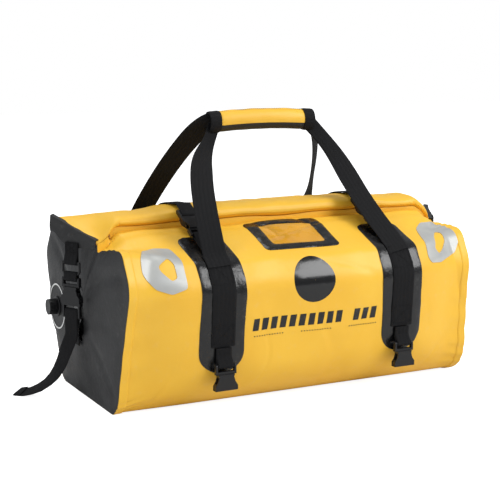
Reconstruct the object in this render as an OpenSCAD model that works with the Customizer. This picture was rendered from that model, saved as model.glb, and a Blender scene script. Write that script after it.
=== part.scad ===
// Waterproof roll-top duffel bag, in millimetres.
// +X runs along the bag, -Y is the front, +Z is up, and the origin lies on the floor under
// the middle of the bag.

/* [Bag body] */
// Length between the two end seams
bag_len = 600; // [520:5:720]
// Depth at the widest line, about two thirds of the way up
bag_depth = 372; // [330:2:430]
// Depth of the base, before its edges are rounded
base_depth = 344; // [330:2:356]
// Height of the closed body, up to the flat that the roll lies on
body_h = 267; // [260:1:320]
// Distance of the widest line below that flat
shoulder_drop = 75; // [70:1:80]
// Thickness of the coated fabric
skin_t = 1.5; // [1:0.1:2]
// How far the end panels bulge outwards
end_bulge = 12; // [6:1:16]

/* [Roll top] */
// Width of the flattened roll, front to back
roll_w = 76; // [66:1:86]
// Height of the flattened roll
roll_h = 27; // [24:1:34]
// Distance of the roll's middle from the bag's middle, towards the front
roll_shift = 12; // [0:1:20]
// How far the roll reaches past each end seam, at its middle
roll_overhang = 22; // [20:1:28]
// Angle at which the roll's ends are folded off
end_twist = 30; // [20:1:36]

/* [Webbing] */
// Width of the carrying webbing
wide_web = 38; // [32:1:44]
// Width of the strap webbing
slim_web = 25; // [20:1:26]
// Thickness of all webbing
web_t = 1.6; // [1.2:0.1:2]
// Distance of the carrying straps from the bag's middle
strap_x = 155; // [120:1:190]

/* [Patches] */
// Width of the welded strap patches
patch_w = 72; // [60:1:84]
// Height of a strap patch's lower edge above the floor
patch_low = 62; // [54:1:74]
// Thickness of a welded patch
patch_t = 1.4; // [1:0.1:2]

/* [Carry handle] */
// Height of the grip's top above the floor
grip_top = 437; // [410:1:480]
// Length of the grip's cover
grip_len = 150; // [110:1:180]
// Depth of the grip, front to back
grip_d = 27; // [24:1:32]
// Height of the grip's cross-section
grip_h = 33; // [30:1:38]
// Thickness of the grip's padded cover
grip_t = 2.4; // [1.8:0.1:3]

/* [Hardware] */
// Outer half-width of a side-release buckle at its mouth
buckle_hw = 18; // [17:0.5:20]
// Thickness of a buckle
buckle_t = 10; // [9:0.5:12]
// Gap between moving pieces
gap = 0.3; // [0.25:0.05:0.4]
// Diameter of the wire of the D-rings
ring_wire = 4; // [3:0.2:4.6]
// Radius of the valve's knob
knob_r = 12.5; // [11.5:0.5:15]
// Distance of the valve behind the end panel's middle
valve_y = 105; // [98:1:108]

/* [Hidden] */
$fn = 48;
black = [0.13, 0.13, 0.14];
grey = [0.26, 0.26, 0.27];
yellow = [0.97, 0.77, 0.26];
silver = [0.73, 0.73, 0.72];

// ---- Outlines in a plane: rounded corners, grown corners and strips of even thickness.
function unit(v) = v / norm(v);
function left_of(v) = [-v[1], v[0]];
function turn(a, b) = atan2(a[0] * b[1] - a[1] * b[0], a[0] * b[0] + a[1] * b[1]);
function arc_steps(bend) = max(1, ceil(abs(bend) / 9));

// A corner at p, rounded to radius r, as the points of its arc.
function rounded_corner(before, p, after, r) =
    let (d1 = unit(p - before), d2 = unit(after - p), bend = turn(d1, d2))
    let (side = bend > 0 ? 1 : -1, start = p - d1 * r * tan(abs(bend) / 2))
    let (centre = start + left_of(d1) * side * r, steps = arc_steps(bend))
    r < 0.01 || abs(bend) < 0.5 ? [p] :
    [for (i = [0:steps])
        let (a = bend * i / steps)
        centre - side * r * [left_of(d1)[0] * cos(a) - left_of(d1)[1] * sin(a),
                             left_of(d1)[0] * sin(a) + left_of(d1)[1] * cos(a)]];

function rounded_loop(corners, radii) =
    let (n = len(corners))
    [for (i = [0:n - 1])
        each rounded_corner(corners[(i + n - 1) % n], corners[i], corners[(i + 1) % n], radii[i])];

function rounded_path(corners, radii) =
    let (last = len(corners) - 1)
    [for (i = [0:last])
        each (i == 0 || i == last ? [corners[i]] :
            rounded_corner(corners[i - 1], corners[i], corners[i + 1], radii[i]))];

// A loop of corners, run clockwise, with each side moved outwards by d.
function grown(corners, d) =
    let (n = len(corners))
    [for (i = [0:n - 1])
        let (d1 = unit(corners[i] - corners[(i + n - 1) % n]),
             d2 = unit(corners[(i + 1) % n] - corners[i]),
             n1 = left_of(d1), n2 = left_of(d2))
        corners[i] + (n1 + n2) * d / (1 + n1 * n2)];

// The point and the normal at step i of an open path.
function path_side(path, i, d) =
    let (last = len(path) - 1,
         d1 = unit(path[max(i, 1)] - path[max(i, 1) - 1]),
         d2 = unit(path[min(i, last - 1) + 1] - path[min(i, last - 1)]),
         n1 = left_of(d1), n2 = left_of(d2))
    path[i] + (n1 + n2) * d / (1 + n1 * n2);

module strip(path, t) {
    last = len(path) - 1;
    polygon(concat([for (i = [0:last]) path_side(path, i, t / 2)],
                   [for (i = [last:-1:0]) path_side(path, i, -t / 2)]));
}

module along_x(length) {
    rotate([90, 0, 90]) linear_extrude(length, center = true) children();
}

module both_ends() {
    children();
    mirror([1, 0, 0]) children();
}

// ---- The bag's cross-section, from the floor up the front, over the top and down the back.
base_half = base_depth / 2;
waist_half = bag_depth / 2;
top_half = roll_w / 2 + 22;
shoulder_half = waist_half - 22;
waist_h = body_h - shoulder_drop;
shoulder_h = waist_h + 34;
front_corners = [[-base_half, 0], [-waist_half, waist_h], [-shoulder_half, shoulder_h],
    [-top_half, body_h]];
section_corners = concat(front_corners, [for (i = [3:-1:0]) [-front_corners[i][0], front_corners[i][1]]]);
front_radii = [90, 45, 26, 8];
section_radii = concat(front_radii, [for (i = [3:-1:0]) front_radii[i]]);

function section(d) = rounded_loop(grown(section_corners, d), [for (r = section_radii) r + d]);

// A layer of the given thickness that lies on the section, d above it.
module layer(d, t) {
    difference() {
        polygon(section(d + t));
        polygon(section(d));
    }
}

// A point on the front shoulder's slope, at depth y from the middle and d above the fabric.
shoulder_tilt = atan((body_h - shoulder_h) / (shoulder_half - top_half));
function on_shoulder(y, d) =
    [-y, body_h - (y - top_half) * tan(shoulder_tilt) + d / cos(shoulder_tilt)];
function on_back_shoulder(y, d) = [y, on_shoulder(y, d)[1]];

// ---- Body shell.
mouth_slot = 4;
neck_t = mouth_slot - 2 * gap;
module main_panel() {
    color(yellow) difference() {
        along_x(bag_len) difference() {
            polygon(section(0));
            polygon(section(-skin_t));
        }
        translate([0, -roll_shift, body_h]) cube([bag_len - 40, mouth_slot, 10], center = true);
    }
}

bulge_mid = 125;
bulge_rim = 112;
bulge_steps = 12;
bulge_r = (bulge_rim * bulge_rim + end_bulge * end_bulge) / (2 * end_bulge);
function bulge_at(r) = sqrt(bulge_r * bulge_r - r * r) - bulge_r + end_bulge;

// Part of the bulge between two depths outside its inner face, revolved about its middle.
module bulge_band(d0, d1) {
    steps = [for (i = [0:bulge_steps]) bulge_rim * i / bulge_steps];
    translate([-bag_len / 2, 0, bulge_mid]) rotate([0, -90, 0]) rotate_extrude($fn = 96)
        polygon(concat([for (r = steps) [r, bulge_at(r) + d1]],
                       [for (i = [bulge_steps:-1:0]) [steps[i], bulge_at(steps[i]) + d0]]));
}

// Flat seam ring, and the bulged fabric inside it.
module left_bulged_panel() {
    difference() {
        translate([-(bag_len + skin_t) / 2, 0, 0]) along_x(skin_t) polygon(section(0));
        translate([-bag_len / 2 + 1, 0, bulge_mid]) rotate([0, -90, 0])
            cylinder(r = bulge_rim, h = 10, $fn = 96);
    }
    bulge_band(0, skin_t);
}

// ---- Air valve on the left end.
valve_seat_r = knob_r + 26;
seat_x = bag_len / 2 + end_bulge - 1;
spigot_r = 9;
neck_r = 8;
flange_r = knob_r + 3.5;
flange_t = 2;
knob_x = seat_x + flange_t + 1;
knob_len = 13;
bore_slack = 0.05;
module at_valve(x) {
    translate([-x, valve_y, bulge_mid]) rotate([0, -90, 0]) children();
}

module left_end_panel() {
    color(grey) difference() {
        union() {
            left_bulged_panel();
            at_valve(bag_len / 2) cylinder(r = valve_seat_r, h = seat_x - bag_len / 2);
        }
        at_valve(bag_len / 2 - 5) cylinder(r = neck_r + gap, h = 30);
    }
}

module right_end_panel() {
    color(grey) mirror([1, 0, 0]) left_bulged_panel();
}

module valve_body() {
    color(black) difference() {
        union() {
            at_valve(seat_x) cylinder(r = flange_r, h = flange_t);
            at_valve(seat_x - 18) cylinder(r = neck_r, h = 18);
            at_valve(seat_x) cylinder(r = spigot_r, h = flange_t + 9);
        }
        at_valve(0) cylinder(r = 4, h = bag_len);
    }
}

module valve_nut() {
    color(grey) difference() {
        at_valve(bag_len / 2 - 4) cylinder(r = 15, h = 4, $fn = 6);
        at_valve(0) cylinder(r = neck_r + gap / 2, h = bag_len);
    }
}

module valve_knob() {
    grips = 24;
    color(black) difference() {
        at_valve(knob_x) cylinder(r = knob_r, h = knob_len);
        at_valve(knob_x - 1) cylinder(r = spigot_r + bore_slack, h = 11);
        for (i = [0:grips - 1])
            at_valve(knob_x - 1) rotate([0, 0, i * 360 / grips])
                translate([knob_r + 0.4, 0, 0]) cylinder(r = 0.9, h = knob_len - 1, $fn = 16);
    }
}

module valve_label_ring() {
    color("white") difference() {
        at_valve(seat_x) cylinder(r = valve_seat_r - 2, h = 0.4);
        at_valve(seat_x - 1) cylinder(r = valve_seat_r - 4.5, h = 3);
    }
}

// ---- Rolled closure: two turns of the doubled fabric, on a neck through the mouth.
roll_mid_z = body_h + roll_h / 2;
roll_turns = 2;
roll_steps = 40;
lay_t = 2.4;
roll_pitch = 3.4;
roll_half = bag_len / 2 + roll_overhang;
function roll_point(i, d) =
    let (a = -90 - i * 360 / roll_steps, in = d + roll_pitch * i / roll_steps)
    [(roll_w / 2 - in) * cos(a) - roll_shift, (roll_h / 2 - in) * sin(a) + roll_mid_z];

module roll_spiral() {
    last = roll_turns * roll_steps;
    polygon(concat([for (i = [0:last]) roll_point(i, 0)],
                   [for (i = [last:-1:0]) roll_point(i, lay_t)]));
}

// Space past the folded end of the roll; the fold runs at end_twist across the bag.
module beyond_fold() {
    translate([-roll_half, -roll_shift, 0]) rotate([0, 0, end_twist])
        translate([-200, 0, 250]) cube([400, 400, 300], center = true);
}

module roll_top() {
    color(yellow) difference() {
        union() {
            along_x(2 * roll_half + 100) roll_spiral();
            translate([0, -roll_shift, body_h - 3]) cube([bag_len - 42, neck_t, 8], center = true);
        }
        both_ends() beyond_fold();
    }
}

stiffener_w = roll_w - 46;
stiffener_t = 1.4;
function core_half(turns) = 0.86 * (roll_h / 2 - roll_pitch * turns - lay_t) - gap - stiffener_t / 2;
module lip_stiffener(up) {
    translate([0, -roll_shift, roll_mid_z + up]) cube([bag_len - 30, stiffener_w, stiffener_t], center = true);
}

module front_lip_stiffener() {
    color("white") lip_stiffener(-core_half(roll_turns));
}

module back_lip_stiffener() {
    color("white") lip_stiffener(core_half(roll_turns - 0.5));
}

// ---- Frame for everything that hangs at a folded roll end: x along the fold, -y outwards.
flap_t = 3;
flap_low = body_h - 29;
module at_end() {
    translate([-roll_half, -roll_shift, 0]) rotate([0, 0, end_twist - 90]) children();
}

module left_roll_end_shape() {
    half = roll_w / 2 + 4;
    corners = [[-half, roll_mid_z], [-half + 3, body_h + roll_h], [half - 3, body_h + roll_h],
        [half, roll_mid_z], [slim_web / 2 + 6, flap_low], [-slim_web / 2 - 6, flap_low]];
    at_end() rotate([90, 0, 0])
        linear_extrude(flap_t) polygon(rounded_loop(corners, [9, 10, 10, 9, 6, 6]));
}

module left_roll_end() {
    color(black) left_roll_end_shape();
}

module right_roll_end() {
    color(black) mirror([1, 0, 0]) left_roll_end_shape();
}

// ---- Side-release buckle. Local frame: x across, y from the mouth to the webbing bar, z out.
bar_r = 2.2;
slot_half = slim_web / 2 + 1;
frame_half = slot_half + 3;
bar_y = 36;
frame_t = 6;
cavity_t = 6;
cavity_half = buckle_hw - 2.4;
cavity_y = 19;
module female_buckle() {
    waist = buckle_hw - 6;
    difference() {
        linear_extrude(buckle_t, center = true) polygon([[-buckle_hw, 0], [-buckle_hw, 7],
            [-waist - 2, 13], [-waist, 20], [-waist - 1, 24], [waist + 1, 24], [waist, 20],
            [waist + 2, 13], [buckle_hw, 7], [buckle_hw, 0]]);
        translate([0, cavity_y / 2 - 1, 0]) cube([2 * cavity_half, cavity_y + 2, cavity_t], center = true);
    }
    difference() {
        translate([0, 24 + (bar_y - 24) / 2, 0]) cube([2 * frame_half, bar_y - 24, frame_t], center = true);
        translate([0, 28 + 10, 0]) cube([2 * slot_half, 20, 20], center = true);
    }
    translate([-frame_half, bar_y, 0]) rotate([0, 90, 0]) cylinder(r = bar_r, h = 2 * frame_half);
    for (side = [-1, 1])
        translate([side * (frame_half - 1.5), bar_y, 0]) rotate([0, 90, 0])
            cylinder(r = frame_t / 2, h = 3, center = true);
}

// The male half seated in the mouth: ladder below y = 0, guide blade and two arms above it.
ladder_y = 22;
ladder_bar_y = 11;
arm_len = 16;
module male_buckle() {
    rail = 3;
    for (side = [-1, 1]) {
        translate([side * (frame_half - rail / 2), -ladder_y / 2 - gap, 0])
            cube([rail, ladder_y, frame_t], center = true);
        translate([side * (cavity_half - 2.6), arm_len / 2 - 1, 0])
            cube([3.4, arm_len + 2, 4.6], center = true);
        translate([side * (cavity_half - 2), arm_len - 3, 0]) cube([3, 6, 4.6], center = true);
    }
    translate([0, -2 - gap, 0]) cube([2 * buckle_hw, 4, frame_t + 1.6], center = true);
    translate([0, 6, 0]) cube([5, 14, 4], center = true);
    for (y = [ladder_bar_y, ladder_y])
        translate([-frame_half, -y - gap, 0]) rotate([0, 90, 0]) cylinder(r = 1.8, h = 2 * frame_half);
}

// Arc of webbing that comes from one point, turns round a bar at c and leaves for another.
// side 1 starts on the left of the way in, side -1 on its right.
loop_r = bar_r + gap + web_t / 2;
function heading(v) = atan2(v[1], v[0]);
function wrap(c, from, to, side) =
    let (a0 = heading(left_of(c - from) * side), a1 = heading(left_of(to - c) * side))
    let (span = ((a0 - a1) * side + 720) % 360, steps = ceil(span / 15))
    [for (i = [0:steps])
        let (a = a0 - side * span * i / steps) c + loop_r * [cos(a), sin(a)]];

// ---- Strap patches and webbing that lie on the front and back faces.
side_tilt = atan((waist_half - base_half) / waist_h);
patch_top = body_h - 25;
land_y = shoulder_half - 20;
web_top = on_shoulder(land_y + 2, 0)[1];
web_low = 103;
module on_face(d, t, width, low, high, x) {
    translate([x, 0, 0]) intersection() {
        along_x(width) layer(d, t);
        translate([-width, -bag_depth, low]) cube([2 * width, bag_depth, high - low]);
    }
}

module patch_shape(x) {
    lower_r = patch_w / 2;
    upper_r = 14;
    half = patch_w / 2;
    intersection() {
        on_face(0, patch_t, patch_w, patch_low, patch_top, x);
        translate([x, 0, 0]) rotate([90, 0, 0]) linear_extrude(bag_depth)
            polygon(rounded_loop([[-half, patch_low], [-half, patch_top], [half, patch_top],
                [half, patch_low]], [lower_r - 1, upper_r, upper_r, lower_r - 1]));
    }
}

module back_of_bag() {
    mirror([0, 1, 0]) children();
}

module front_left_patch() {
    color(black) patch_shape(-strap_x);
}

module front_right_patch() {
    color(black) patch_shape(strap_x);
}

module back_left_patch() {
    color(black) back_of_bag() patch_shape(-strap_x);
}

module back_right_patch() {
    color(black) back_of_bag() patch_shape(strap_x);
}

module anchor_webbing(x) {
    on_face(patch_t, web_t, wide_web, web_low, web_top, x);
}

module front_left_anchor_webbing() {
    color(black) anchor_webbing(-strap_x);
}

module front_right_anchor_webbing() {
    color(black) anchor_webbing(strap_x);
}

module back_left_anchor_webbing() {
    color(black) back_of_bag() anchor_webbing(-strap_x);
}

module back_right_anchor_webbing() {
    color(black) back_of_bag() anchor_webbing(strap_x);
}

// ---- Lashing loops and the empty buckles that hang in them, mouth down.
// Points on the sloping face: h up from the floor, d out from the fabric.
function face_point(h, d) =
    [-(base_half + (waist_half - base_half) * h / waist_h) - d / cos(side_tilt), h];
hang_h = 76;
hang_out = 9.5;
hang = face_point(hang_h, hang_out);
module lashing_loop(x) {
    inner = patch_t + web_t / 2 + 0.02;
    outer = inner + web_t + 0.1;
    low_in = face_point(hang_h + 10, inner);
    low_out = face_point(hang_h + 13, outer);
    path = concat([face_point(web_low - 1, inner), low_in], wrap(hang, low_in, low_out, 1),
        [low_out, face_point(web_low - 1, outer)]);
    translate([x, 0, 0]) along_x(slim_web) strip(path, web_t);
}

module lashing_buckle(x) {
    translate([x, hang[0], hang[1]]) rotate([90, 0, 0]) translate([0, -bar_y, 0]) female_buckle();
}

module front_left_lashing_loop() {
    color(black) lashing_loop(-strap_x);
}

module front_right_lashing_loop() {
    color(black) lashing_loop(strap_x);
}

module back_left_lashing_loop() {
    color(black) back_of_bag() lashing_loop(-strap_x);
}

module back_right_lashing_loop() {
    color(black) back_of_bag() lashing_loop(strap_x);
}

module front_left_lashing_buckle() {
    color(black) lashing_buckle(-strap_x);
}

module front_right_lashing_buckle() {
    color(black) lashing_buckle(strap_x);
}

module back_left_lashing_buckle() {
    color(black) back_of_bag() lashing_buckle(-strap_x);
}

module back_right_lashing_buckle() {
    color(black) back_of_bag() lashing_buckle(strap_x);
}

// ---- Straps over the roll, with a buckle on each.
strap_tilt = 30;
roll_lift = 4.2;
tangent_a = atan(roll_h / roll_w / tan(strap_tilt));
top_start = [-roll_shift - roll_w / 2 * cos(tangent_a) - roll_lift * sin(strap_tilt),
    roll_mid_z + roll_h / 2 * sin(tangent_a) + roll_lift * cos(strap_tilt)];
down_strap = [-cos(strap_tilt), -sin(strap_tilt)];
off_strap = [-sin(strap_tilt), cos(strap_tilt)];
function on_strap(s, out) = top_start + down_strap * s + off_strap * out;
mouth_s = 29;
run_out = 1.8 + gap + web_t / 2;
top_bar = on_strap(mouth_s + bar_y, 0);

// Places a buckle so that its own y axis runs down the strap, mouth at mouth_s.
module on_top_strap(x) {
    mouth = on_strap(mouth_s, 0);
    translate([x, mouth[0], mouth[1]]) rotate([180 + strap_tilt, 0, 0]) children();
}

module top_strap(x) {
    mid_s = mouth_s - ladder_bar_y - gap;
    turn_back = [for (a = [0:15:180]) on_strap(mid_s + run_out * sin(a), run_out * cos(a))];
    over_z = body_h + roll_h + gap + web_t / 2;
    sewn = patch_t + web_t / 2 + 0.1;
    path = concat([on_back_shoulder(land_y, sewn), on_back_shoulder(land_y - 22, sewn),
        [-roll_shift + roll_w / 2 - 6, over_z - 3.2], [-roll_shift + 14, over_z],
        [-roll_shift - 8, over_z + 1.2], on_strap(-9, run_out)],
        turn_back, [on_strap(mid_s - 11, -run_out)]);
    translate([x, 0, 0]) along_x(slim_web) strip(path, web_t);
}

module top_buckle_loop(x) {
    lower = patch_t + web_t / 2 + 0.02;
    upper = lower + web_t + 0.1;
    leave_low = on_shoulder(land_y - 19, lower);
    leave_up = on_shoulder(land_y - 17, upper);
    path = concat([on_shoulder(land_y, lower), leave_low], wrap(top_bar, leave_low, leave_up, -1),
        [leave_up, on_shoulder(land_y, upper)]);
    translate([x, 0, 0]) along_x(slim_web) strip(path, web_t);
}

module left_top_strap() {
    color(black) top_strap(-strap_x);
}

module right_top_strap() {
    color(black) top_strap(strap_x);
}

module left_top_male_buckle() {
    color(black) on_top_strap(-strap_x) male_buckle();
}

module right_top_male_buckle() {
    color(black) on_top_strap(strap_x) male_buckle();
}

module left_top_female_buckle() {
    color(black) on_top_strap(-strap_x) female_buckle();
}

module right_top_female_buckle() {
    color(black) on_top_strap(strap_x) female_buckle();
}

module left_top_buckle_loop() {
    color(black) top_buckle_loop(-strap_x);
}

module right_top_buckle_loop() {
    color(black) top_buckle_loop(strap_x);
}

// ---- Carry handle. A band is swept along a route; its flat side faces the normal given.
function mix(a, b, t) = a + (b - a) * t;
function bezier(p, t) =
    pow(1 - t, 3) * p[0] + 3 * t * pow(1 - t, 2) * p[1] + 3 * t * t * (1 - t) * p[2] + pow(t, 3) * p[3];
function bezier_way(p, t) =
    pow(1 - t, 2) * (p[1] - p[0]) + 2 * t * (1 - t) * (p[2] - p[1]) + t * t * (p[3] - p[2]);
function ring(point, along, face, width) =
    let (across = unit(cross(face, along)) * width / 2, out = unit(cross(along, across)) * web_t / 2)
    [point + across + out, point - across + out, point - across - out, point + across - out];

module swept_band(points, ways, faces, widths) {
    last = len(points) - 1;
    rings = [for (i = [0:last]) ring(points[i], ways[i], faces[i], widths[i])];
    skin = [for (i = [0:last - 1], k = [0:3])
        each [[4 * i + k, 4 * i + (k + 1) % 4, 4 * i + 4 + k],
              [4 * i + (k + 1) % 4, 4 * i + 4 + (k + 1) % 4, 4 * i + 4 + k]]];
    polyhedron([for (r = rings) each r], concat([[3, 2, 1, 0]], skin,
        [[4 * last, 4 * last + 1, 4 * last + 2, 4 * last + 3]]));
}

grip_z = grip_top - grip_h / 2;
grip_web_h = grip_h - 2 * grip_t - 2.2;
collar_len = 10;
band_gap = 3.6;
band_y = (band_gap + web_t) / 2;
leg_steps = 16;
module handle_legs() {
    start = on_shoulder(land_y + 9, patch_t + web_t * 1.5 + 0.05);
    end_x = grip_len / 2 + collar_len + gap;
    curve = [[-strap_x, start[0], start[1]], [-strap_x + 2, start[0] + 44, start[1] + 62],
        [-end_x - 34, -band_y, grip_z], [-end_x, -band_y, grip_z]];
    steps = [for (i = [0:leg_steps]) i / leg_steps];
    both_ends() swept_band([for (t = steps) bezier(curve, t)], [for (t = steps) bezier_way(curve, t)],
        [for (t = steps) [0, mix(-0.85, -1, t), mix(0.53, 0, t)]],
        [for (t = steps) mix(wide_web, grip_web_h, max(0, t - 0.6) / 0.4)]);
}

module front_handle_legs() {
    color(black) handle_legs();
}

module back_handle_legs() {
    color(black) back_of_bag() handle_legs();
}

module grip_webbing() {
    color(black) for (side = [-1, 1])
        translate([0, side * band_y, grip_z])
            cube([grip_len + 2 * collar_len, web_t, grip_web_h], center = true);
}

// Point on the grip's section: angle from the front, over the top, and depth under the surface.
function grip_point(a, d) = [-(grip_d / 2 - d) * cos(a), (grip_h / 2 - d) * sin(a) + grip_z];
module grip_sector(a0, a1, d0, d1) {
    steps = ceil((a1 - a0) / 8);
    angles = [for (i = [0:steps]) mix(a0, a1, i / steps)];
    polygon(concat([for (a = angles) grip_point(a, d0)],
                   [for (i = [steps:-1:0]) grip_point(angles[i], d1)]));
}

flap_top = 62;
flap_bottom = -20;
flap_skin = 1.4;
lap_t = flap_skin + gap + 1.2;
module grip_cover() {
    color(yellow) along_x(grip_len) grip_sector(flap_top + 2, 290, 0, grip_t);
}

module grip_lap() {
    color(black) along_x(grip_len) union() {
        grip_sector(-68, flap_bottom - 2, 0, lap_t);
        grip_sector(flap_bottom - 3, 25, flap_skin + gap, lap_t);
    }
}

module grip_flap() {
    color(yellow) along_x(grip_len - 2) grip_sector(flap_bottom, flap_top, 0, flap_skin);
}

module grip_collars() {
    color(black) both_ends() translate([-(grip_len + collar_len) / 2 - gap, 0, 0])
        along_x(collar_len - gap) grip_sector(0, 359.9, -0.8, grip_t);
}

// ---- Window pocket, badge and reflective patches.
window_l = 128;
window_w = 80;
window_border = 17;
window_y = 103;
film_t = 0.6;
frame_up = 1.8;
module on_shoulder_frame() {
    mid = on_shoulder(window_y, 0.02);
    translate([0, mid[0], mid[1]]) rotate([shoulder_tilt, 0, 0]) children();
}

module id_window_film() {
    color([0.9, 0.9, 0.9, 0.4]) on_shoulder_frame() translate([0, 0, film_t / 2])
        cube([window_l - window_border, window_w - window_border, film_t], center = true);
}

module id_window_frame() {
    open_l = window_l - 2 * window_border;
    open_w = window_w - 2 * window_border;
    pocket = 2 * gap - window_border;
    color(black) on_shoulder_frame() difference() {
        translate([0, 0, frame_up / 2]) cube([window_l, window_w, frame_up], center = true);
        cube([open_l, open_w, 3 * frame_up], center = true);
        cube([window_l + pocket, window_w + pocket, 2 * (film_t + 0.05)], center = true);
    }
}

badge_r = 35;
badge_z = 187;
module badge_disc() {
    color(black) intersection() {
        on_face(0, 0.6, 2 * badge_r, badge_z - badge_r, badge_z + badge_r, 0);
        translate([0, 0, badge_z]) rotate([90, 0, 0]) cylinder(r = badge_r, h = bag_depth);
    }
}

reflector_x = bag_len / 2 - 58;
module reflector(x, z, tall) {
    half = 34;
    translate([x, 0, 0]) intersection() {
        on_face(0, 0.4, 2 * half, z - tall / 2, z + tall / 2, 0);
        translate([0, 0, z]) rotate([90, 0, 0]) linear_extrude(bag_depth) difference() {
            polygon(rounded_loop([[-half, -tall / 2], [-half, tall / 2], [half, tall / 2],
                [half, -tall / 2]], [22, 22, 4, 4]));
            polygon(rounded_loop([[-half + 20, -tall / 2 + 20], [-half + 20, tall / 2 - 18],
                [half - 24, tall / 2 - 18], [half - 24, -tall / 2 + 20]], [8, 8, 2, 2]));
        }
    }
}

module reflective_patches() {
    color(silver) union() {
        reflector(-reflector_x, 214, 60);
        mirror([1, 0, 0]) reflector(-reflector_x, 220, 62);
    }
}

// ---- Roll-end hardware: tab, D-ring, buckle and adjusting strap.
ring_out = flap_t + web_t + gap + ring_wire / 2;
ring_z = flap_low - 22;
ring_drop = 17;
ring_half = slim_web / 2 + 3.5;
ring_bend = 5;
tab_r = ring_wire / 2 + gap + web_t / 2;
end_bar_z = ring_z - ring_drop - 8;
end_mouth_z = end_bar_z - bar_y;

// Local y-z plane of the end frame as [out, up] points.
module end_strip(path) {
    at_end() rotate([90, 0, 90]) linear_extrude(slim_web, center = true)
        strip([for (p = path) [-p[0], p[1]]], web_t);
}

module end_tab() {
    turn_under = [for (a = [0:15:180]) [ring_out - tab_r * cos(a), ring_z - tab_r * sin(a)]];
    end_strip(concat([[ring_out - tab_r, ring_z + 30]], turn_under,
        [[ring_out - tab_r + web_t + 0.2, ring_z + 14], [ring_out - tab_r + web_t + 0.2, ring_z + 30]]));
}

module d_ring() {
    straight = ring_drop - ring_bend;
    at_end() translate([0, -ring_out, ring_z]) {
        translate([-ring_half, 0, 0]) rotate([0, 90, 0]) cylinder(r = ring_wire / 2, h = 2 * ring_half);
        for (side = [-1, 1]) {
            translate([side * ring_half, 0, 0]) sphere(ring_wire / 2);
            translate([side * ring_half, 0, -straight]) cylinder(r = ring_wire / 2, h = straight);
            translate([side * (ring_half - ring_bend), 0, -straight]) rotate([90, 0, 0])
                rotate([0, 0, side > 0 ? -90 : 180]) rotate_extrude(angle = 90)
                    translate([ring_bend, 0]) circle(ring_wire / 2);
        }
        translate([-ring_half + ring_bend, 0, -ring_drop]) rotate([0, 90, 0])
            cylinder(r = ring_wire / 2, h = 2 * (ring_half - ring_bend));
    }
}

// Stadium round the D-ring's foot and the buckle's bar.
function loop_outline(r) = concat(
    [for (a = [0:15:180]) [-ring_out + r * cos(a), ring_z - ring_drop + r * sin(a)]],
    [for (a = [180:15:360]) [-ring_out + r * cos(a), end_bar_z + r * sin(a)]]);

module end_buckle_loop() {
    at_end() rotate([90, 0, 90]) linear_extrude(slim_web, center = true) difference() {
        polygon(loop_outline(tab_r + web_t / 2));
        polygon(loop_outline(tab_r - web_t / 2));
    }
}

module at_end_buckle() {
    at_end() translate([0, -ring_out, end_mouth_z]) rotate([90, 0, 0]) children();
}

// Strap: sewn flat on the end patch, up to the ladder, round its bar and down to the floor.
end_out = [-cos(end_twist), -sin(end_twist), 0];
ring_point = [-roll_half, -roll_shift, 0] + end_out * ring_out;
ladder_z = end_mouth_z - ladder_bar_y - gap;
patch_x = bag_len / 2 + end_bulge + skin_t + patch_t + web_t / 2 + gap;
module end_strap() {
    bend = [for (a = [-90:15:90]) ring_point + end_out * run_out * sin(a) + [0, 0, ladder_z + run_out * cos(a)]];
    back = ring_point - end_out * run_out;
    front = ring_point + end_out * run_out;
    rise = [[-patch_x, 0, 86], [-patch_x, 0, 100], [-patch_x - 2, -3, 107],
        [mix(-patch_x, back[0], 0.75), -11, 119], [back[0], back[1], 128]];
    fall = [[17, -12, 80], [21, -4, 61], [27, 5, 44], [33, 15, 32], [41, 28, 20], [50, 43, 11],
        [59, 56, 5], [69, 70, 2.4]];
    tail = concat([[front[0], front[1], 124], [front[0], front[1], 104]],
        [for (p = fall) [-roll_half - p[0], p[1], p[2]]]);
    points = concat(rise, bend, tail);
    last = len(points) - 1;
    faces = concat([[-1, 0, 0], [-1, 0, 0], [-1, -0.1, 0.3], [-0.9, -0.35, 0.6], end_out],
        [for (a = [-90:15:90]) end_out * sin(a) + [0, 0, cos(a)]],
        [for (i = [0:len(tail) - 1]) mix(end_out, [-0.35, 0.1, 0.95], max(0, i - 1) / (len(tail) - 2))]);
    turned = [for (i = [0:last]) i < len(rise) ? -faces[i] : faces[i]];
    swept_band(points, [for (i = [0:last]) points[min(i + 1, last)] - points[max(i - 1, 0)]], turned,
        [for (p = points) slim_web]);
}

module end_patch() {
    half = 22;
    intersection() {
        bulge_band(skin_t, skin_t + patch_t);
        translate([-bag_len / 2 - 20, 0, 133]) along_x(40)
            polygon(rounded_loop([[-half, -46], [-half, 46], [half, 46], [half, -46]],
                [half - 1, half - 1, half - 1, half - 1]));
    }
}

module end_patches() {
    color(black) both_ends() end_patch();
}

module left_end_tab() {
    color(black) end_tab();
}

module right_end_tab() {
    color(black) mirror([1, 0, 0]) end_tab();
}

module left_d_ring() {
    color(black) d_ring();
}

module right_d_ring() {
    color(black) mirror([1, 0, 0]) d_ring();
}

module left_end_female_buckle() {
    color(black) at_end_buckle() female_buckle();
}

module right_end_female_buckle() {
    color(black) mirror([1, 0, 0]) at_end_buckle() female_buckle();
}

module left_end_buckle_loop() {
    color(black) end_buckle_loop();
}

module right_end_buckle_loop() {
    color(black) mirror([1, 0, 0]) end_buckle_loop();
}

module left_end_male_buckle() {
    color(black) at_end_buckle() male_buckle();
}

module right_end_male_buckle() {
    color(black) mirror([1, 0, 0]) at_end_buckle() male_buckle();
}

module left_end_strap() {
    color(black) end_strap();
}

module right_end_strap() {
    color(black) mirror([1, 0, 0]) end_strap();
}

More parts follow.
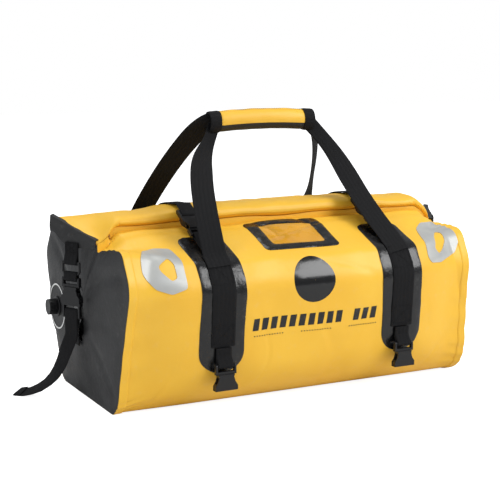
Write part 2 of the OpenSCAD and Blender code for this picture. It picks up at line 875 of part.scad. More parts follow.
main_panel();
left_end_panel();
right_end_panel();
roll_top();
front_lip_stiffener();
back_lip_stiffener();
left_roll_end();
right_roll_end();
front_left_patch();
front_right_patch();
back_left_patch();
back_right_patch();
front_left_anchor_webbing();
front_right_anchor_webbing();
back_left_anchor_webbing();
back_right_anchor_webbing();
front_left_lashing_loop();
front_right_lashing_loop();
back_left_lashing_loop();
back_right_lashing_loop();
front_left_lashing_buckle();
front_right_lashing_buckle();
back_left_lashing_buckle();
back_right_lashing_buckle();
front_handle_legs();
back_handle_legs();
grip_webbing();
grip_cover();
grip_lap();
grip_flap();
grip_collars();
left_top_strap();
right_top_strap();
left_top_male_buckle();
right_top_male_buckle();
left_top_female_buckle();
right_top_female_buckle();
left_top_buckle_loop();
right_top_buckle_loop();
id_window_frame();
id_window_film();
badge_disc();
reflective_patches();
valve_body();
valve_knob();
valve_nut();
valve_label_ring();
left_end_tab();
right_end_tab();
left_d_ring();
right_d_ring();
left_end_female_buckle();
right_end_female_buckle();
left_end_buckle_loop();
right_end_buckle_loop();
left_end_male_buckle();
right_end_male_buckle();
left_end_strap();
right_end_strap();
end_patches();
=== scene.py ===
# Roll-top duffel bag: the looks of its soft pieces and the finish of its moulded ones.
# Lengths are written in millimetres and become metres as each mesh is made. The frame is the
# CAD part's: +X along the bag, -Y the front, +Z up, the floor at zero.
import math

import bmesh
import bpy
import numpy as np
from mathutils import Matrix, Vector


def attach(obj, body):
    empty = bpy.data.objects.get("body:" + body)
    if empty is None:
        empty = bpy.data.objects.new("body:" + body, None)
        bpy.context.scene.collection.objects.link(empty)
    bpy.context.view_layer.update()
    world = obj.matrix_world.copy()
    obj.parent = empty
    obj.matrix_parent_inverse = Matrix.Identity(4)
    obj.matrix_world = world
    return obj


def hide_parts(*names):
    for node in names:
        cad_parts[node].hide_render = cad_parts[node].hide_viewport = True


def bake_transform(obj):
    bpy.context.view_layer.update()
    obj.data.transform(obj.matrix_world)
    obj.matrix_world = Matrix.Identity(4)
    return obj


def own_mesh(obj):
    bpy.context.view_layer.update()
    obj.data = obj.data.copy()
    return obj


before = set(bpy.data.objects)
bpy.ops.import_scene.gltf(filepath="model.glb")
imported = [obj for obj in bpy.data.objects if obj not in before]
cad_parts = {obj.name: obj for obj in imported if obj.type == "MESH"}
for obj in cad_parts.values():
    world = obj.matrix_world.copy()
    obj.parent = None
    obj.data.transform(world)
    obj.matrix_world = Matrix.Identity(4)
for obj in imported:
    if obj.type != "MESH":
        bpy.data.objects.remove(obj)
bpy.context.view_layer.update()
MM = 0.001

# Sizes that several pieces share: the body's half length, how far the carrying straps stand from
# the middle, the slope of the shoulder, and the thickness of the webbing and the welded film.
BODY_HALF = 300
STRAP_X = 155
SHOULDER_SLOPE = math.atan2(41, 104)
WEB_THICK = 1.6
PATCH_THICK = 1.4


# ---- Camera, lights and floor ------------------------------------------------------------
# The camera stands off the front left corner with a long lens. Two large soft lamps and an
# even white surround light the bag at a plain level; the floor is white and keeps the shadow.
def linear(hex_colour):
    """The linear colour of an sRGB hex code."""
    parts = [int(hex_colour[i:i + 2], 16) / 255 for i in (1, 3, 5)]
    return [c / 12.92 if c <= 0.04045 else ((c + 0.055) / 1.055) ** 2.4 for c in parts] + [1]


def add(tree, kind, inputs=None, **settings):
    """Adds a node. Each input is a value, or the socket that it is linked to."""
    made = tree.nodes.new("ShaderNode" + kind)
    for name, value in settings.items():
        setattr(made, name, value)
    for name, value in (inputs or {}).items():
        if isinstance(value, bpy.types.NodeSocket):
            tree.links.new(value, made.inputs[name])
        else:
            made.inputs[name].default_value = value
    return made


def new_material(name):
    """A material with an empty node tree, and that tree."""
    made = bpy.data.materials.new(name)
    made.use_nodes = True
    made.node_tree.nodes.clear()
    return made, made.node_tree


scene = bpy.context.scene
scene.view_settings.view_transform = "Standard"
camera = bpy.data.objects.new("camera", bpy.data.cameras.new("camera"))
scene.collection.objects.link(camera)
camera.data.lens = 91.4
camera.data.sensor_width = 36
camera.location = (-0.9420, -1.8027, 0.5484)
target = Vector((-0.0191, 0, 0.2091))
camera.rotation_euler = (target - camera.location).to_track_quat("-Z", "Y").to_euler()
scene.camera = camera


def area_lamp(name, place, size, power, aim=(0, 0, 0.2)):
    """A square lamp that faces the point aim."""
    lamp = bpy.data.lights.new(name, "AREA")
    lamp.size = size
    lamp.energy = power
    made = bpy.data.objects.new(name, lamp)
    made.location = place
    made.rotation_euler = (Vector(aim) - made.location).to_track_quat("-Z", "Y").to_euler()
    scene.collection.objects.link(made)
    return made


area_lamp("key_lamp", (1.5, -1.8, 1.9), 1.5, 54)
area_lamp("side_lamp", (-2.4, -0.7, 1.3), 1.1, 17)
area_lamp("top_lamp", (-0.2, 0.5, 2.6), 1.4, 22)

world = bpy.data.worlds.new("studio")
scene.world = world
world.use_nodes = True
world.node_tree.nodes.clear()
ray = add(world.node_tree, "LightPath")
seen = add(world.node_tree, "Background", {"Color": (1, 1, 1, 1), "Strength": 1.0})
lit = add(world.node_tree, "Background", {"Color": (0.94, 0.97, 1, 1), "Strength": 0.42})
pick = add(world.node_tree, "MixShader", {0: ray.outputs["Is Camera Ray"], 1: lit.outputs[0],
                                          2: seen.outputs[0]})
add(world.node_tree, "OutputWorld", {"Surface": pick.outputs[0]})

floor_material, tree = new_material("white_studio_floor")
ray = add(tree, "LightPath")
white = add(tree, "BsdfDiffuse", {"Color": (0.86, 0.86, 0.86, 1)})
glow = add(tree, "Emission", {"Color": (1, 1, 1, 1), "Strength": 0.9})
both = add(tree, "AddShader", {0: white.outputs[0], 1: glow.outputs[0]})
pick = add(tree, "MixShader", {0: ray.outputs["Is Camera Ray"], 1: white.outputs[0], 2: both.outputs[0]})
add(tree, "OutputMaterial", {"Surface": pick.outputs[0]})
bpy.ops.mesh.primitive_plane_add(size=14, location=(0, 0, -0.0004))
floor = bpy.context.object
floor.name = "studio_floor"
floor.data.materials.append(floor_material)


# ---- Body shell --------------------------------------------------------------------------
# A tube of yellow coated fabric, welded from one panel. It sags a little between the seams,
# puckers along them, and its section changes towards each end.
def mesh_piece(name, points, faces, across_along, body, slot, material, replaces=()):
    """A smooth mesh on a body. across_along holds each point's pattern place in millimetres."""
    data = bpy.data.meshes.new(name)
    data.from_pydata([tuple(p) for p in np.asarray(points) * MM], [], faces)
    made = bpy.data.objects.new(name, data)
    scene.collection.objects.link(made)
    work = bmesh.new()
    work.from_mesh(data)
    bmesh.ops.recalc_face_normals(work, faces=work.faces)
    pattern = work.loops.layers.uv.new("pattern")
    for face in work.faces:
        face.smooth = True
        for loop in face.loops:
            loop[pattern].uv = across_along[loop.vert.index] * MM
    work.to_mesh(data)
    work.free()
    data.set_sharp_from_angle(angle=math.radians(48))
    data.materials.append(material)
    if body:
        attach(made, body)
    if replaces:
        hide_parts(*replaces)
    return made


def grid_faces(rows, columns, closed_rows=False, closed_columns=False, first=0):
    """Quads of a grid whose points run along its columns first."""
    found = []
    for r in range(rows if closed_rows else rows - 1):
        for c in range(columns if closed_columns else columns - 1):
            r2, c2 = (r + 1) % rows, (c + 1) % columns
            corners = (r * columns + c, r * columns + c2, r2 * columns + c2, r2 * columns + c)
            found.append(tuple(first + v for v in corners))
    return found


def grid_pattern(grid):
    """Pattern place of each point of a grid: the distances run across and along it."""
    across = np.linalg.norm(np.diff(grid, axis=1, prepend=grid[:, :1]), axis=2).cumsum(axis=1)
    along = np.linalg.norm(np.diff(grid, axis=0, prepend=grid[:1]), axis=2).cumsum(axis=0)
    return np.stack([across, along.mean(axis=1, keepdims=True) + 0 * along], axis=-1).reshape(-1, 2)


def smooth_step(t):
    t = np.clip(t, 0, 1)
    return t * t * (3 - 2 * t)


def outline(corners, radii):
    """A clockwise outline with rounded corners. Every outline has the same number of points."""
    corners = np.array(corners, float)
    steps = [22, 8, 24, 20, 24, 8, 22, 20]
    turns = [24, 10, 8, 6, 6, 8, 10, 24]
    arcs = []
    for i, r in enumerate(radii):
        before = corners[i] - corners[i - 1]
        after = corners[(i + 1) % len(corners)] - corners[i]
        a0 = math.atan2(before[1], before[0])
        bend = (math.atan2(after[1], after[0]) - a0 + math.pi) % (2 * math.pi) - math.pi
        start = corners[i] - before / np.linalg.norm(before) * r * math.tan(abs(bend) / 2)
        side = np.array([math.sin(a0), -math.cos(a0)])
        turned = [a0 + bend * j / turns[i] for j in range(turns[i] + 1)]
        centre = start + side * r
        arcs.append([centre - r * np.array([math.sin(a), -math.cos(a)]) for a in turned])
    points = []
    for i, arc in enumerate(arcs):
        points += arc
        last, first = arc[-1], arcs[(i + 1) % len(arcs)][0]
        points += [last + (first - last) * j / steps[i] for j in range(1, steps[i])]
    return np.array(points)


def mirrored(corners, radii):
    """The outline of a front, closed by the same corners at the back."""
    return outline(corners + [(-y, z) for y, z in corners[::-1]], radii + radii[::-1])


MIDDLE = mirrored([(-172, 0), (-186, 192), (-164, 226), (-60, 267)], [90, 45, 26, 8])
LEFT = mirrored([(-122, 1), (-188, 199), (-152, 252), (-52, 241)], [34, 46, 22, 24])
RIGHT = mirrored([(-148, 1), (-157, 196), (-132, 240), (-50, 243)], [54, 50, 30, 24])
ROUND = len(MIDDLE)
STEP = np.linalg.norm(np.diff(MIDDLE, axis=0, append=MIDDLE[:1]), axis=1)
GIRTH = np.concatenate([[0], STEP.cumsum()])
UP_FRONT = int(np.argmax(MIDDLE[:, 1] > 266.9))


def at(table, k):
    """Value of a table that runs round the outline, between its rows."""
    k = np.asarray(k, float) % ROUND
    low = np.floor(k).astype(int)
    t = (k - low)[..., None]
    return table[low % ROUND] * (1 - t) + table[(low + 1) % ROUND] * t


def front_row(height):
    """Row of the outline where the front of the bag has that height."""
    return np.interp(height, MIDDLE[:UP_FRONT, 1], np.arange(UP_FRONT))


def waves(x, s, length, seed):
    """A smooth random field over the fabric, about one high, with waves of that length."""
    random = np.random.default_rng(seed)
    total = 0
    for _ in range(10):
        angle, size = random.uniform(0, math.pi), length * random.uniform(0.65, 1.5)
        phase = (x * math.cos(angle) + s * math.sin(angle)) * 2 * math.pi / size
        total = total + np.sin(phase + random.uniform(0, 2 * math.pi))
    return total / 3.2


def sag(x, k):
    """How far the loaded fabric lies above its plain shape: dents, soft folds and seam puckers."""
    s = np.interp(np.asarray(k, float) % ROUND, np.arange(ROUND + 1), GIRTH)
    z = at(MIDDLE, k)[..., 1]
    y = at(MIDDLE, k)[..., 0]
    other_side = np.where(y > 0, 1.0, 0.0) * 900
    soft = 2.1 * waves(x + other_side, s, 260, 3) + 0.8 * waves(x + other_side, s, 105, 5)
    fold_a = waves(x * 0.75 + other_side, s * 0.6, 150, 11)
    fold_b = waves(x * 0.7, s * 1.1, 190, 19)
    where = smooth_step(waves(x + other_side, s, 230, 23) * 1.4)
    folds = -1.5 * np.exp(-(fold_a / 0.13) ** 2) * where - 1.1 * np.exp(-(fold_b / 0.09) ** 2) * (1 - where)
    from_seam = BODY_HALF - np.abs(x)
    pucker = np.sin(s / 5.2 + 2.5 * waves(x * 0, s, 120, 31)) * 0.9 * np.exp(-((from_seam - 14) / 22) ** 2)
    pinch = -2.2 * np.exp(-((from_seam - 34) / 20) ** 2)
    under_roll = -2.5 * smooth_step((z - 258) / 6)
    strap = np.exp(-(np.maximum(np.abs(np.abs(x) - STRAP_X) - 38, 0) / 20) ** 2)
    total = soft + folds + pucker + pinch
    total = total * (1 - strap) + strap * (-0.5 + 0.2 * total.clip(-2, 0))
    badge = np.exp(-(np.hypot(x, z - 187) / 58) ** 4) * np.where(y < 0, 1, 0)
    total = total * (1 - 0.85 * badge)
    return (total - 0.9 * (1 - badge) + under_roll) * smooth_step((z - 4) / 40)


def skin(x, k, out=0.0):
    """Points out above the fabric, at x along the bag and row k of the outline."""
    x, k, out = np.broadcast_arrays(np.asarray(x, float), np.asarray(k, float), np.asarray(out, float))
    high = smooth_step((at(MIDDLE, k)[..., 1] - 236) / 22)
    end = smooth_step((np.abs(x) - 172) / 126) * (1 - high) + smooth_step((np.abs(x) - 262) / 37) * high
    end, right = end[..., None], np.where(x > 0, 1.0, 0.0)[..., None]

    def place(row):
        return at(MIDDLE, row) * (1 - end) + (at(LEFT, row) * (1 - right) + at(RIGHT, row) * right) * end

    run = place(k + 0.6) - place(k - 0.6)
    run = run / np.linalg.norm(run, axis=-1, keepdims=True)
    normal = np.stack([-run[..., 1], run[..., 0]], axis=-1)
    flat = place(k) + normal * (out + sag(x, k))[..., None]
    flat[..., 1] = np.maximum(flat[..., 1], np.minimum(out, 0) + 0.05)
    return np.concatenate([x[..., None], flat], axis=-1)


def fabric(name, colour, deep, rough, weave, depth, crease=0.0004, shine=0.5, wear=0.04):
    """Coated cloth: a scrim of that pitch in millimetres under a plastic skin, with scuffs."""
    made, tree = new_material(name)
    place = add(tree, "UVMap", uv_map="pattern").outputs[0]
    apart = add(tree, "SeparateXYZ", {0: place})
    rate = 2 * math.pi / (weave * MM)
    ways = []
    for axis in ("X", "Y"):
        turned = add(tree, "Math", {0: apart.outputs[axis], 1: rate}, operation="MULTIPLY")
        ways.append(add(tree, "Math", {0: turned.outputs[0]}, operation="SINE").outputs[0])
    scrim = add(tree, "Math", {0: ways[0], 1: ways[1]}, operation="MULTIPLY")
    space = add(tree, "TexCoord").outputs["Object"]
    broad = add(tree, "TexNoise", {"Vector": space, "Scale": 9.0, "Detail": 5.0, "Roughness": 0.55})
    fine = add(tree, "TexNoise", {"Vector": space, "Scale": 95.0, "Detail": 4.0, "Roughness": 0.6})
    shade = add(tree, "MapRange", {"Value": broad.outputs[0], "From Min": 0.35, "From Max": 0.7,
                                   "To Min": 0.0, "To Max": 0.55})
    scuff = add(tree, "MapRange", {"Value": fine.outputs[0], "From Min": 0.58, "From Max": 0.75,
                                   "To Min": 0.0, "To Max": wear})
    tint = add(tree, "Mix", {0: shade.outputs[0], 6: linear(colour), 7: linear(deep)}, data_type="RGBA")
    worn = add(tree, "Mix", {0: scuff.outputs[0], 6: tint.outputs[2], 7: linear("#D8D6D0")},
               data_type="RGBA")
    gloss = add(tree, "MapRange", {"Value": broad.outputs[0], "From Min": 0.3, "From Max": 0.7,
                                   "To Min": rough - 0.05, "To Max": rough + 0.07})
    cloth = add(tree, "Bump", {"Height": scrim.outputs[0], "Distance": depth * MM, "Strength": 1.0})
    soft = add(tree, "Bump", {"Height": fine.outputs[0], "Distance": crease, "Strength": 0.8,
                              "Normal": cloth.outputs[0]})
    skin_shader = add(tree, "BsdfPrincipled", {"Base Color": worn.outputs[2], "Roughness": gloss.outputs[0],
                                               "Normal": soft.outputs[0], "IOR": 1.48})
    skin_shader.inputs["Specular IOR Level"].default_value = shine
    add(tree, "OutputMaterial", {"Surface": skin_shader.outputs[0]})
    return made


# PVC-coated polyester in yellow: satin skin, the scrim just showing.
yellow_pvc = fabric("yellow_pvc_tarpaulin", "#F1BE37", "#EAB02A", 0.46, 1.3, 0.018)
body_x = np.concatenate([[-299.5], np.linspace(-299, 299, 261), [299.5]])
body_rows = np.arange(ROUND) + 0.0
tube = skin(body_x[:, None], body_rows[None, :])
tube_pattern = np.stack(np.broadcast_arrays(GIRTH[None, :ROUND], body_x[:, None]), axis=-1).reshape(-1, 2)
mesh_piece("body_shell", tube.reshape(-1, 3), grid_faces(len(body_x), ROUND, False, True), tube_pattern,
           "bag", "yellow_coated_fabric", yellow_pvc, ["main_panel"])

# The welded seam at each end: the panel's edge turned over and pressed flat in a rib.
seam_profile = [(287, 0.1), (288, 1.1), (291, 1.5), (297, 1.3), (299, 1.9), (300.4, 1.6), (300.5, 0.4),
                (300.2, -1.5)]
for end_name, sign in (("left", -1), ("right", 1)):
    seam_x = np.array([p[0] for p in seam_profile]) * sign
    seam_out = np.array([p[1] for p in seam_profile])
    ring = skin(seam_x[:, None], body_rows[None, :], seam_out[:, None])
    ring[..., 2] = np.maximum(ring[..., 2], 0.05)
    mesh_piece(end_name + "_end_seam", ring.reshape(-1, 3), grid_faces(len(seam_x), ROUND, False, True),
               grid_pattern(ring), "bag", "yellow_coated_fabric", yellow_pvc)


# ---- End panels --------------------------------------------------------------------------
# Black coated fabric welded into each end, pushed outwards by the load. The left one carries
# the air valve on a flatter seat; creases run from its corners to the middle.
black_pvc = fabric("black_pvc_tarpaulin", "#232324", "#1A1A1B", 0.5, 1.3, 0.02, crease=0.0007, shine=0.4,
                   wear=0.03)
for end_name, sign in (("left", -1), ("right", 1)):
    share = np.concatenate([np.linspace(1.0, 0.06, 34), [0.0]])[:, None]
    edge = skin(BODY_HALF * sign, body_rows, 1.2)[:, 1:]
    middle = np.array([0.0, 125.0])
    flat = middle + (edge[None] - middle) * share[..., None]
    angle = np.arctan2(edge[:, 1] - 125, edge[:, 0])[None, :]
    reach = np.linalg.norm(edge - middle, axis=1)[None, :] * share
    bulge = 12.0 * (1 - share ** 2.6) * (1 + 0.03 * np.sin(3 * angle + 1))
    crease = np.zeros_like(bulge)
    for way, bend, deep in ((2.45, 0.5, 2.6), (0.75, -0.4, 2.4), (-2.6, 0.4, 1.8), (-0.6, -0.3, 1.8),
                            (3.05, 0.2, 1.2)):
        off = np.angle(np.exp(1j * (angle - way - bend * (share - 0.6))))
        crease -= deep * np.exp(-(off * (0.3 + share) / 0.085) ** 2) * smooth_step((share - 0.25) / 0.3)
    crease += 0.9 * waves(reach * np.cos(angle) + 40 * sign, reach * np.sin(angle), 110, 41)
    depth = bulge + crease * smooth_step((1 - share) / 0.12)
    if sign < 0:
        from_valve = np.hypot(flat[..., 0] - 105, flat[..., 1] - 125)
        seat = smooth_step((62 - from_valve) / 24)
        depth = depth * (1 - seat) + 9.7 * seat
    under = np.exp(-(np.hypot(flat[..., 0] * 1.3, flat[..., 1] - 115) / 62) ** 4)
    depth = np.minimum(depth, 11.9 + 2 * (1 - under))
    panel = np.concatenate([(sign * (300.8 + depth))[..., None], flat], axis=-1)
    panel[..., 2] = np.maximum(panel[..., 2], 0.3)
    pattern = np.stack([flat[..., 0], flat[..., 1]], axis=-1).reshape(-1, 2)
    mesh_piece(end_name + "_end_panel_fabric", panel.reshape(-1, 3),
               grid_faces(len(share), ROUND, False, True), pattern, "bag", "black_coated_fabric", black_pvc,
               [end_name + "_end_panel"])


# ---- Rolled closure ----------------------------------------------------------------------
# The top of the tube rolled over twice and pressed flat. The straps pinch it; at each end it
# thins, bends down and is folded off at an angle. Its last lap ends in a line along the front.
def roll_section(count=72):
    """Outline of the flattened roll, about one wide and one high, with the step of its last lap."""
    found = []
    for i in range(count):
        a = 2 * math.pi * i / count
        c, s = math.cos(a), math.sin(a)
        found.append((math.copysign(abs(c) ** 0.8, c), math.copysign(abs(s) ** 0.72, s)))
    return np.array(found)


def roll_point(x, across, up):
    """A point of the roll. across and up run from -1 to 1; x is the place of its middle line."""
    x, across, up = np.broadcast_arrays(np.asarray(x, float), across, up)
    end_start = np.where(x < 0, 258, 284)
    end = smooth_step((np.abs(x) - end_start) / (322 - end_start))
    strap = np.exp(-((np.abs(x) - STRAP_X) / 24) ** 2)
    lump = waves(x, across * 30, 140, 51)
    thin = smooth_step((np.abs(x) - 172) / 50)
    high = 13.4 - 1.0 * strap - 3.0 * thin + (0.7 * lump - 0.7) * (1 - strap)
    high = high * (1 - end) + 5.0 * end
    mid_z = 280.4 - 3.0 * thin + (-0.6 - 0.5 * lump) * (1 - strap)
    fall = np.where(x < 0, end * (14.5 - 16 * across), smooth_step((x - 262) / 55) * (30 - 6 * across))
    wide = (38 - 0.8 + 1.2 * waves(x, 0, 170, 57) * (1 - strap)) * (1 - end) + 44 * end
    way = math.radians(30) * end * np.sign(x)
    y = -12 + across * wide * np.cos(way)
    px = x + across * wide * np.sin(way)
    creases = np.where(up > 0, 0.8 * waves(x, across * wide, 46, 61), 0) * (1 - strap) * (1 - end)
    z = mid_z - fall + up * high + creases * np.abs(up)
    return np.stack([px, y, z], axis=-1)


roll_x = np.concatenate([np.linspace(-322, -240, 34), np.linspace(-236, 236, 150),
                         np.linspace(240, 322, 34)])
section = roll_section()
roll = roll_point(roll_x[:, None], section[None, :, 0], section[None, :, 1])
roll_faces = grid_faces(len(roll_x), len(section), False, True)
roll_faces += [tuple(range(len(section))), tuple(range((len(roll_x) - 1) * len(section), roll[..., 0].size))]
mesh_piece("rolled_top", roll.reshape(-1, 3), roll_faces, grid_pattern(roll), "bag",
           "yellow_coated_fabric", yellow_pvc, ["roll_top", "front_lip_stiffener", "back_lip_stiffener"])


def slab(name, top, bottom, body, slot, material, replaces=(), closed=False, edge=None):
    """A closed sheet between two grids of the same size; closed joins its last row to its first."""
    rows, columns = top.shape[:2]
    half = rows * columns
    faces = grid_faces(rows, columns, closed)
    faces += [tuple(v + half for v in face) for face in faces]
    if not closed:
        for row in (0, (rows - 1) * columns):
            faces += [(row + c, row + c + 1, half + row + c + 1, half + row + c) for c in range(columns - 1)]
    first_side = len(faces)
    for column in (0, columns - 1):
        for r in range(rows if closed else rows - 1):
            a, b = r * columns + column, (r + 1) % rows * columns + column
            faces.append((a, b, half + b, half + a))
    points = np.concatenate([top.reshape(-1, 3), bottom.reshape(-1, 3)])
    pattern = grid_pattern(top)
    made = mesh_piece(name, points, faces, np.concatenate([pattern, pattern]), body, slot, material,
                      replaces)
    if edge:
        made.data.materials.append(edge)
        for face in made.data.polygons[first_side:]:
            face.material_index = 1
    return made


# The neck: the same fabric between the roll and the body, set back under the roll's front edge.
neck_x = np.linspace(-277, 299, 120)
neck_rows = []
for y, share in ((-44, 0), (-46, 0.5), (-45, 1), (21, 1), (24, 0.5), (40, 0)):
    body_top = skin(neck_x, front_row(266.8) + 4, -7.0)[:, 2]
    roll_middle = roll_point(neck_x, 0.0, -1.0)[:, 2] + 5
    roll_edge = roll_point(neck_x, (y + 12) / 38, -1.0)[:, 2] + 3
    roll_low = np.minimum(roll_middle, roll_edge)
    neck_rows.append(np.stack([neck_x, 0 * neck_x + y, body_top * (1 - share) + roll_low * share], axis=1))
neck = np.stack(neck_rows, axis=1)
neck_faces = grid_faces(len(neck_x), 6, False, True) + [tuple(range(6)), tuple(range(119 * 6, 120 * 6))]
mesh_piece("roll_neck", neck.reshape(-1, 3), neck_faces, grid_pattern(neck), "bag", "yellow_coated_fabric",
           yellow_pvc)

# The lap line: the free edge of the last turn, a thin step that runs the length of the front.
lap_x = np.linspace(-262, 262, 150)
lap_rows = [(-0.97, 0.34, 0.2), (-0.985, 0.12, 1.0), (-1.0, -0.08, 1.2), (-0.99, -0.26, 1.1),
            (-0.975, -0.30, 0.2)]
lap = np.stack([roll_point(lap_x, a, u) + [0, -out, 0] for a, u, out in lap_rows], axis=1)
slab("roll_lap_edge", lap, lap + [0, 1.4, 0], "bag", "yellow_coated_fabric", yellow_pvc)

# The stiffened black end of the roll: a tongue folded down over each end, its edges painted light grey as a
# highlight along the rim.
painted_rim_highlight = fabric("painted_rim_highlight_on_black_pvc", "#7C7C7E", "#5E5E60", 0.6, 1.3, 0.01, wear=0.1)
FOLD_OUT = np.array([-math.cos(math.radians(30)), -0.5, 0.0])
FOLD_ALONG = np.array([0.5, -math.sqrt(0.75), 0.0])


def end_place(out, up, across=0.0):
    """A point at the left fold: out from it, up from the floor, across it towards the front."""
    out, up, across = np.broadcast_arrays(np.asarray(out, float), np.asarray(up, float),
                                          np.asarray(across, float))
    start = np.array([-322.0, -12.0, 0.0])
    level = start + out[..., None] * FOLD_OUT + across[..., None] * FOLD_ALONG
    return level + up[..., None] * [0.0, 0.0, 1.0]


fold_across = np.linspace(-44, 44, 37)[:, None]
down = np.linspace(0, 1, 15)[None, :]
fold_line = (fold_across - 10 + 34 * down) / 7
hang = 1.3 + 1.6 * np.sin(down * 2.4) + 0.6 * waves(fold_across, down * 30, 40, 71)
hang += 1.9 * np.exp(-fold_line ** 2)
for end_name, sign in (("left", -1), ("right", 1)):
    mirror = np.array([-sign, 1, 1])
    if sign < 0:
        fold_top = 268.2 - fold_across / 44 * 16
        fold_low = 238 + 22 * smooth_step((-fold_across - 6) / 34)
    else:
        fold_top = 252.6 - fold_across / 44 * 6
        fold_low = 226 + 8 * smooth_step((-fold_across - 6) / 34)
    fold_up = fold_top + (fold_low - fold_top) * down
    tongue = end_place(hang, fold_up, fold_across)
    behind = end_place(hang - 1.6, fold_up - 0.2, fold_across)
    over = tongue[:, :1] - FOLD_OUT * 7 + [0, 0, 0.9]
    over_in = behind[:, :1] - FOLD_OUT * 7 + [0, 0, -0.6]
    slab(end_name + "_roll_end_tongue", np.concatenate([over, tongue], axis=1) * mirror,
         np.concatenate([over_in, behind], axis=1) * mirror, "bag", "black_coated_fabric", black_pvc,
         [end_name + "_roll_end"], edge=painted_rim_highlight)


# ---- Welded patches ----------------------------------------------------------------------
# Glossy black film patches, welded under each carrying strap; their edges stand a little
# proud of the yellow fabric and their surface ripples. Smaller ones sit on the end panels.
glossy_patch = fabric("glossy_welded_black_film", "#0C0C0D", "#09090A", 0.22, 2.2, 0.012, crease=0.0011,
                      wear=0.03)
SIDES = [("front_left", -1, -1), ("front_right", 1, -1), ("back_left", -1, 1), ("back_right", 1, 1)]


def placed(points, x_sign, y_sign):
    """Points of the front left, moved to one of the four sides."""
    return points * np.array([-x_sign, -y_sign, 1])


patch_v = np.concatenate([np.linspace(0, 0.16, 12), np.linspace(0.18, 0.93, 36), np.linspace(0.94, 1, 8)])
patch_z = 62 + (254 - 62) * patch_v
patch_half = np.full_like(patch_z, 36.0)
low = patch_z < 97
patch_half[low] = 1 + np.sqrt(np.maximum(35.0 ** 2 - (97 - patch_z[low]) ** 2, 1))
high = patch_z > 248
patch_half[high] = 36 - 12 + np.sqrt(np.maximum(12.0 ** 2 - ((patch_z[high] - 248) * 2) ** 2, 1))
patch_u = np.linspace(-1, 1, 23)[None, :]
patch_x = -STRAP_X + patch_half[:, None] * patch_u + 1.2 * np.sin(patch_z[:, None] / 24) * np.abs(patch_u)
patch_k = front_row(patch_z)[:, None] + 0 * patch_u
rise = 1.3 * np.minimum(1, (1 - np.abs(patch_u)) * 9 + 0.45)
ripple = 0.28 * waves(patch_x, patch_z[:, None] * 0.7, 26, 81) * (np.abs(patch_u) > 0.5)
for side_name, x_sign, y_sign in SIDES:
    slab(side_name + "_glossy_patch", placed(skin(patch_x, patch_k, rise + ripple), x_sign, y_sign),
         placed(skin(patch_x, patch_k, -0.8), x_sign, y_sign), "bag", "black_welded_patch", glossy_patch,
         [side_name + "_patch"])
for end_name, sign in (("left", -1), ("right", 1)):
    ring_t = np.linspace(0, 2 * math.pi, 49)[:-1, None]
    ring_r = np.linspace(0.02, 1, 9)[None, :]
    py = 21.5 * ring_r * np.cos(ring_t)
    pz = 133 + (ring_r * np.sin(ring_t)) * 21.5 + 24.5 * ring_r * np.tanh(3 * np.sin(ring_t))
    px = 13.6 + 1.2 * (1 - ring_r ** 6) - 12 * (np.hypot(py, pz - 125) / 112) ** 2
    plate = np.stack([sign * (BODY_HALF + px), py, pz], axis=-1)
    slab(end_name + "_end_strap_patch", plate, plate - [sign * 3.0, 0, 0], "bag", "black_welded_patch",
         glossy_patch, ["end_patches"] if sign < 0 else (), closed=True)


# ---- Webbing ----------------------------------------------------------------------------
# Polyester webbing, 38 mm wide for carrying and 25 mm for the other straps, 1.6 mm thick,
# woven in chevrons, folded round the buckles and sewn down with boxed crosses of thread.
def webbing(name, colour, stripe, pitch):
    """Woven strap: chevrons of that stripe width and thread pitch in millimetres, with shade painted into
    the twill's grooves.
    """
    made, tree = new_material(name)
    place = add(tree, "UVMap", uv_map="pattern").outputs[0]
    apart = add(tree, "SeparateXYZ", {0: place})
    zigzag = add(tree, "Math", {0: apart.outputs["X"], 1: stripe * MM}, operation="PINGPONG")
    climb = add(tree, "Math", {0: apart.outputs["Y"], 1: zigzag.outputs[0]}, operation="ADD")
    turns = add(tree, "Math", {0: climb.outputs[0], 1: 2 * math.pi / (pitch * MM)}, operation="MULTIPLY")
    twill = add(tree, "Math", {0: turns.outputs[0]}, operation="SINE")
    groove = add(tree, "Math", {0: zigzag.outputs[0], 1: 1 / (stripe * MM)}, operation="MULTIPLY")
    height = add(tree, "Math", {0: twill.outputs[0], 1: 0.45, 2: groove.outputs[0]},
                 operation="MULTIPLY_ADD")
    grain = add(tree, "TexNoise", {"Vector": place, "Scale": 900.0, "Detail": 3.0})
    # Painted shade: the colour falls to 0.45 of itself in the twill's grooves, following the same height as
    # the bump.
    groove_shade_mask = add(tree, "MapRange", {"Value": height.outputs[0], "From Min": -0.4, "From Max": 1.3,
                                   "To Min": 0.0, "To Max": 1.0})
    tone = add(tree, "Mix", {0: groove_shade_mask.outputs[0], 6: [c * 0.45 for c in linear(colour)[:3]] + [1],
                             7: linear(colour)}, data_type="RGBA")
    fuzz = add(tree, "Mix", {0: grain.outputs[0], 6: tone.outputs[2], 7: linear("#1B1B1D")},
               data_type="RGBA")
    ribs = add(tree, "Bump", {"Height": height.outputs[0], "Distance": 0.00035, "Strength": 0.9})
    yarn = add(tree, "Bump", {"Height": grain.outputs[0], "Distance": 0.00012, "Strength": 0.7,
                              "Normal": ribs.outputs[0]})
    cloth = add(tree, "BsdfPrincipled", {"Base Color": fuzz.outputs[2], "Roughness": 0.72,
                                         "Normal": yarn.outputs[0], "Specular IOR Level": 0.16})
    add(tree, "OutputMaterial", {"Surface": cloth.outputs[0]})
    return made


black_webbing = webbing("black_polyester_webbing", "#111112", 3.4, 2.0)
black_thread = webbing("black_bonded_thread", "#1E1E20", 0.5, 0.6)


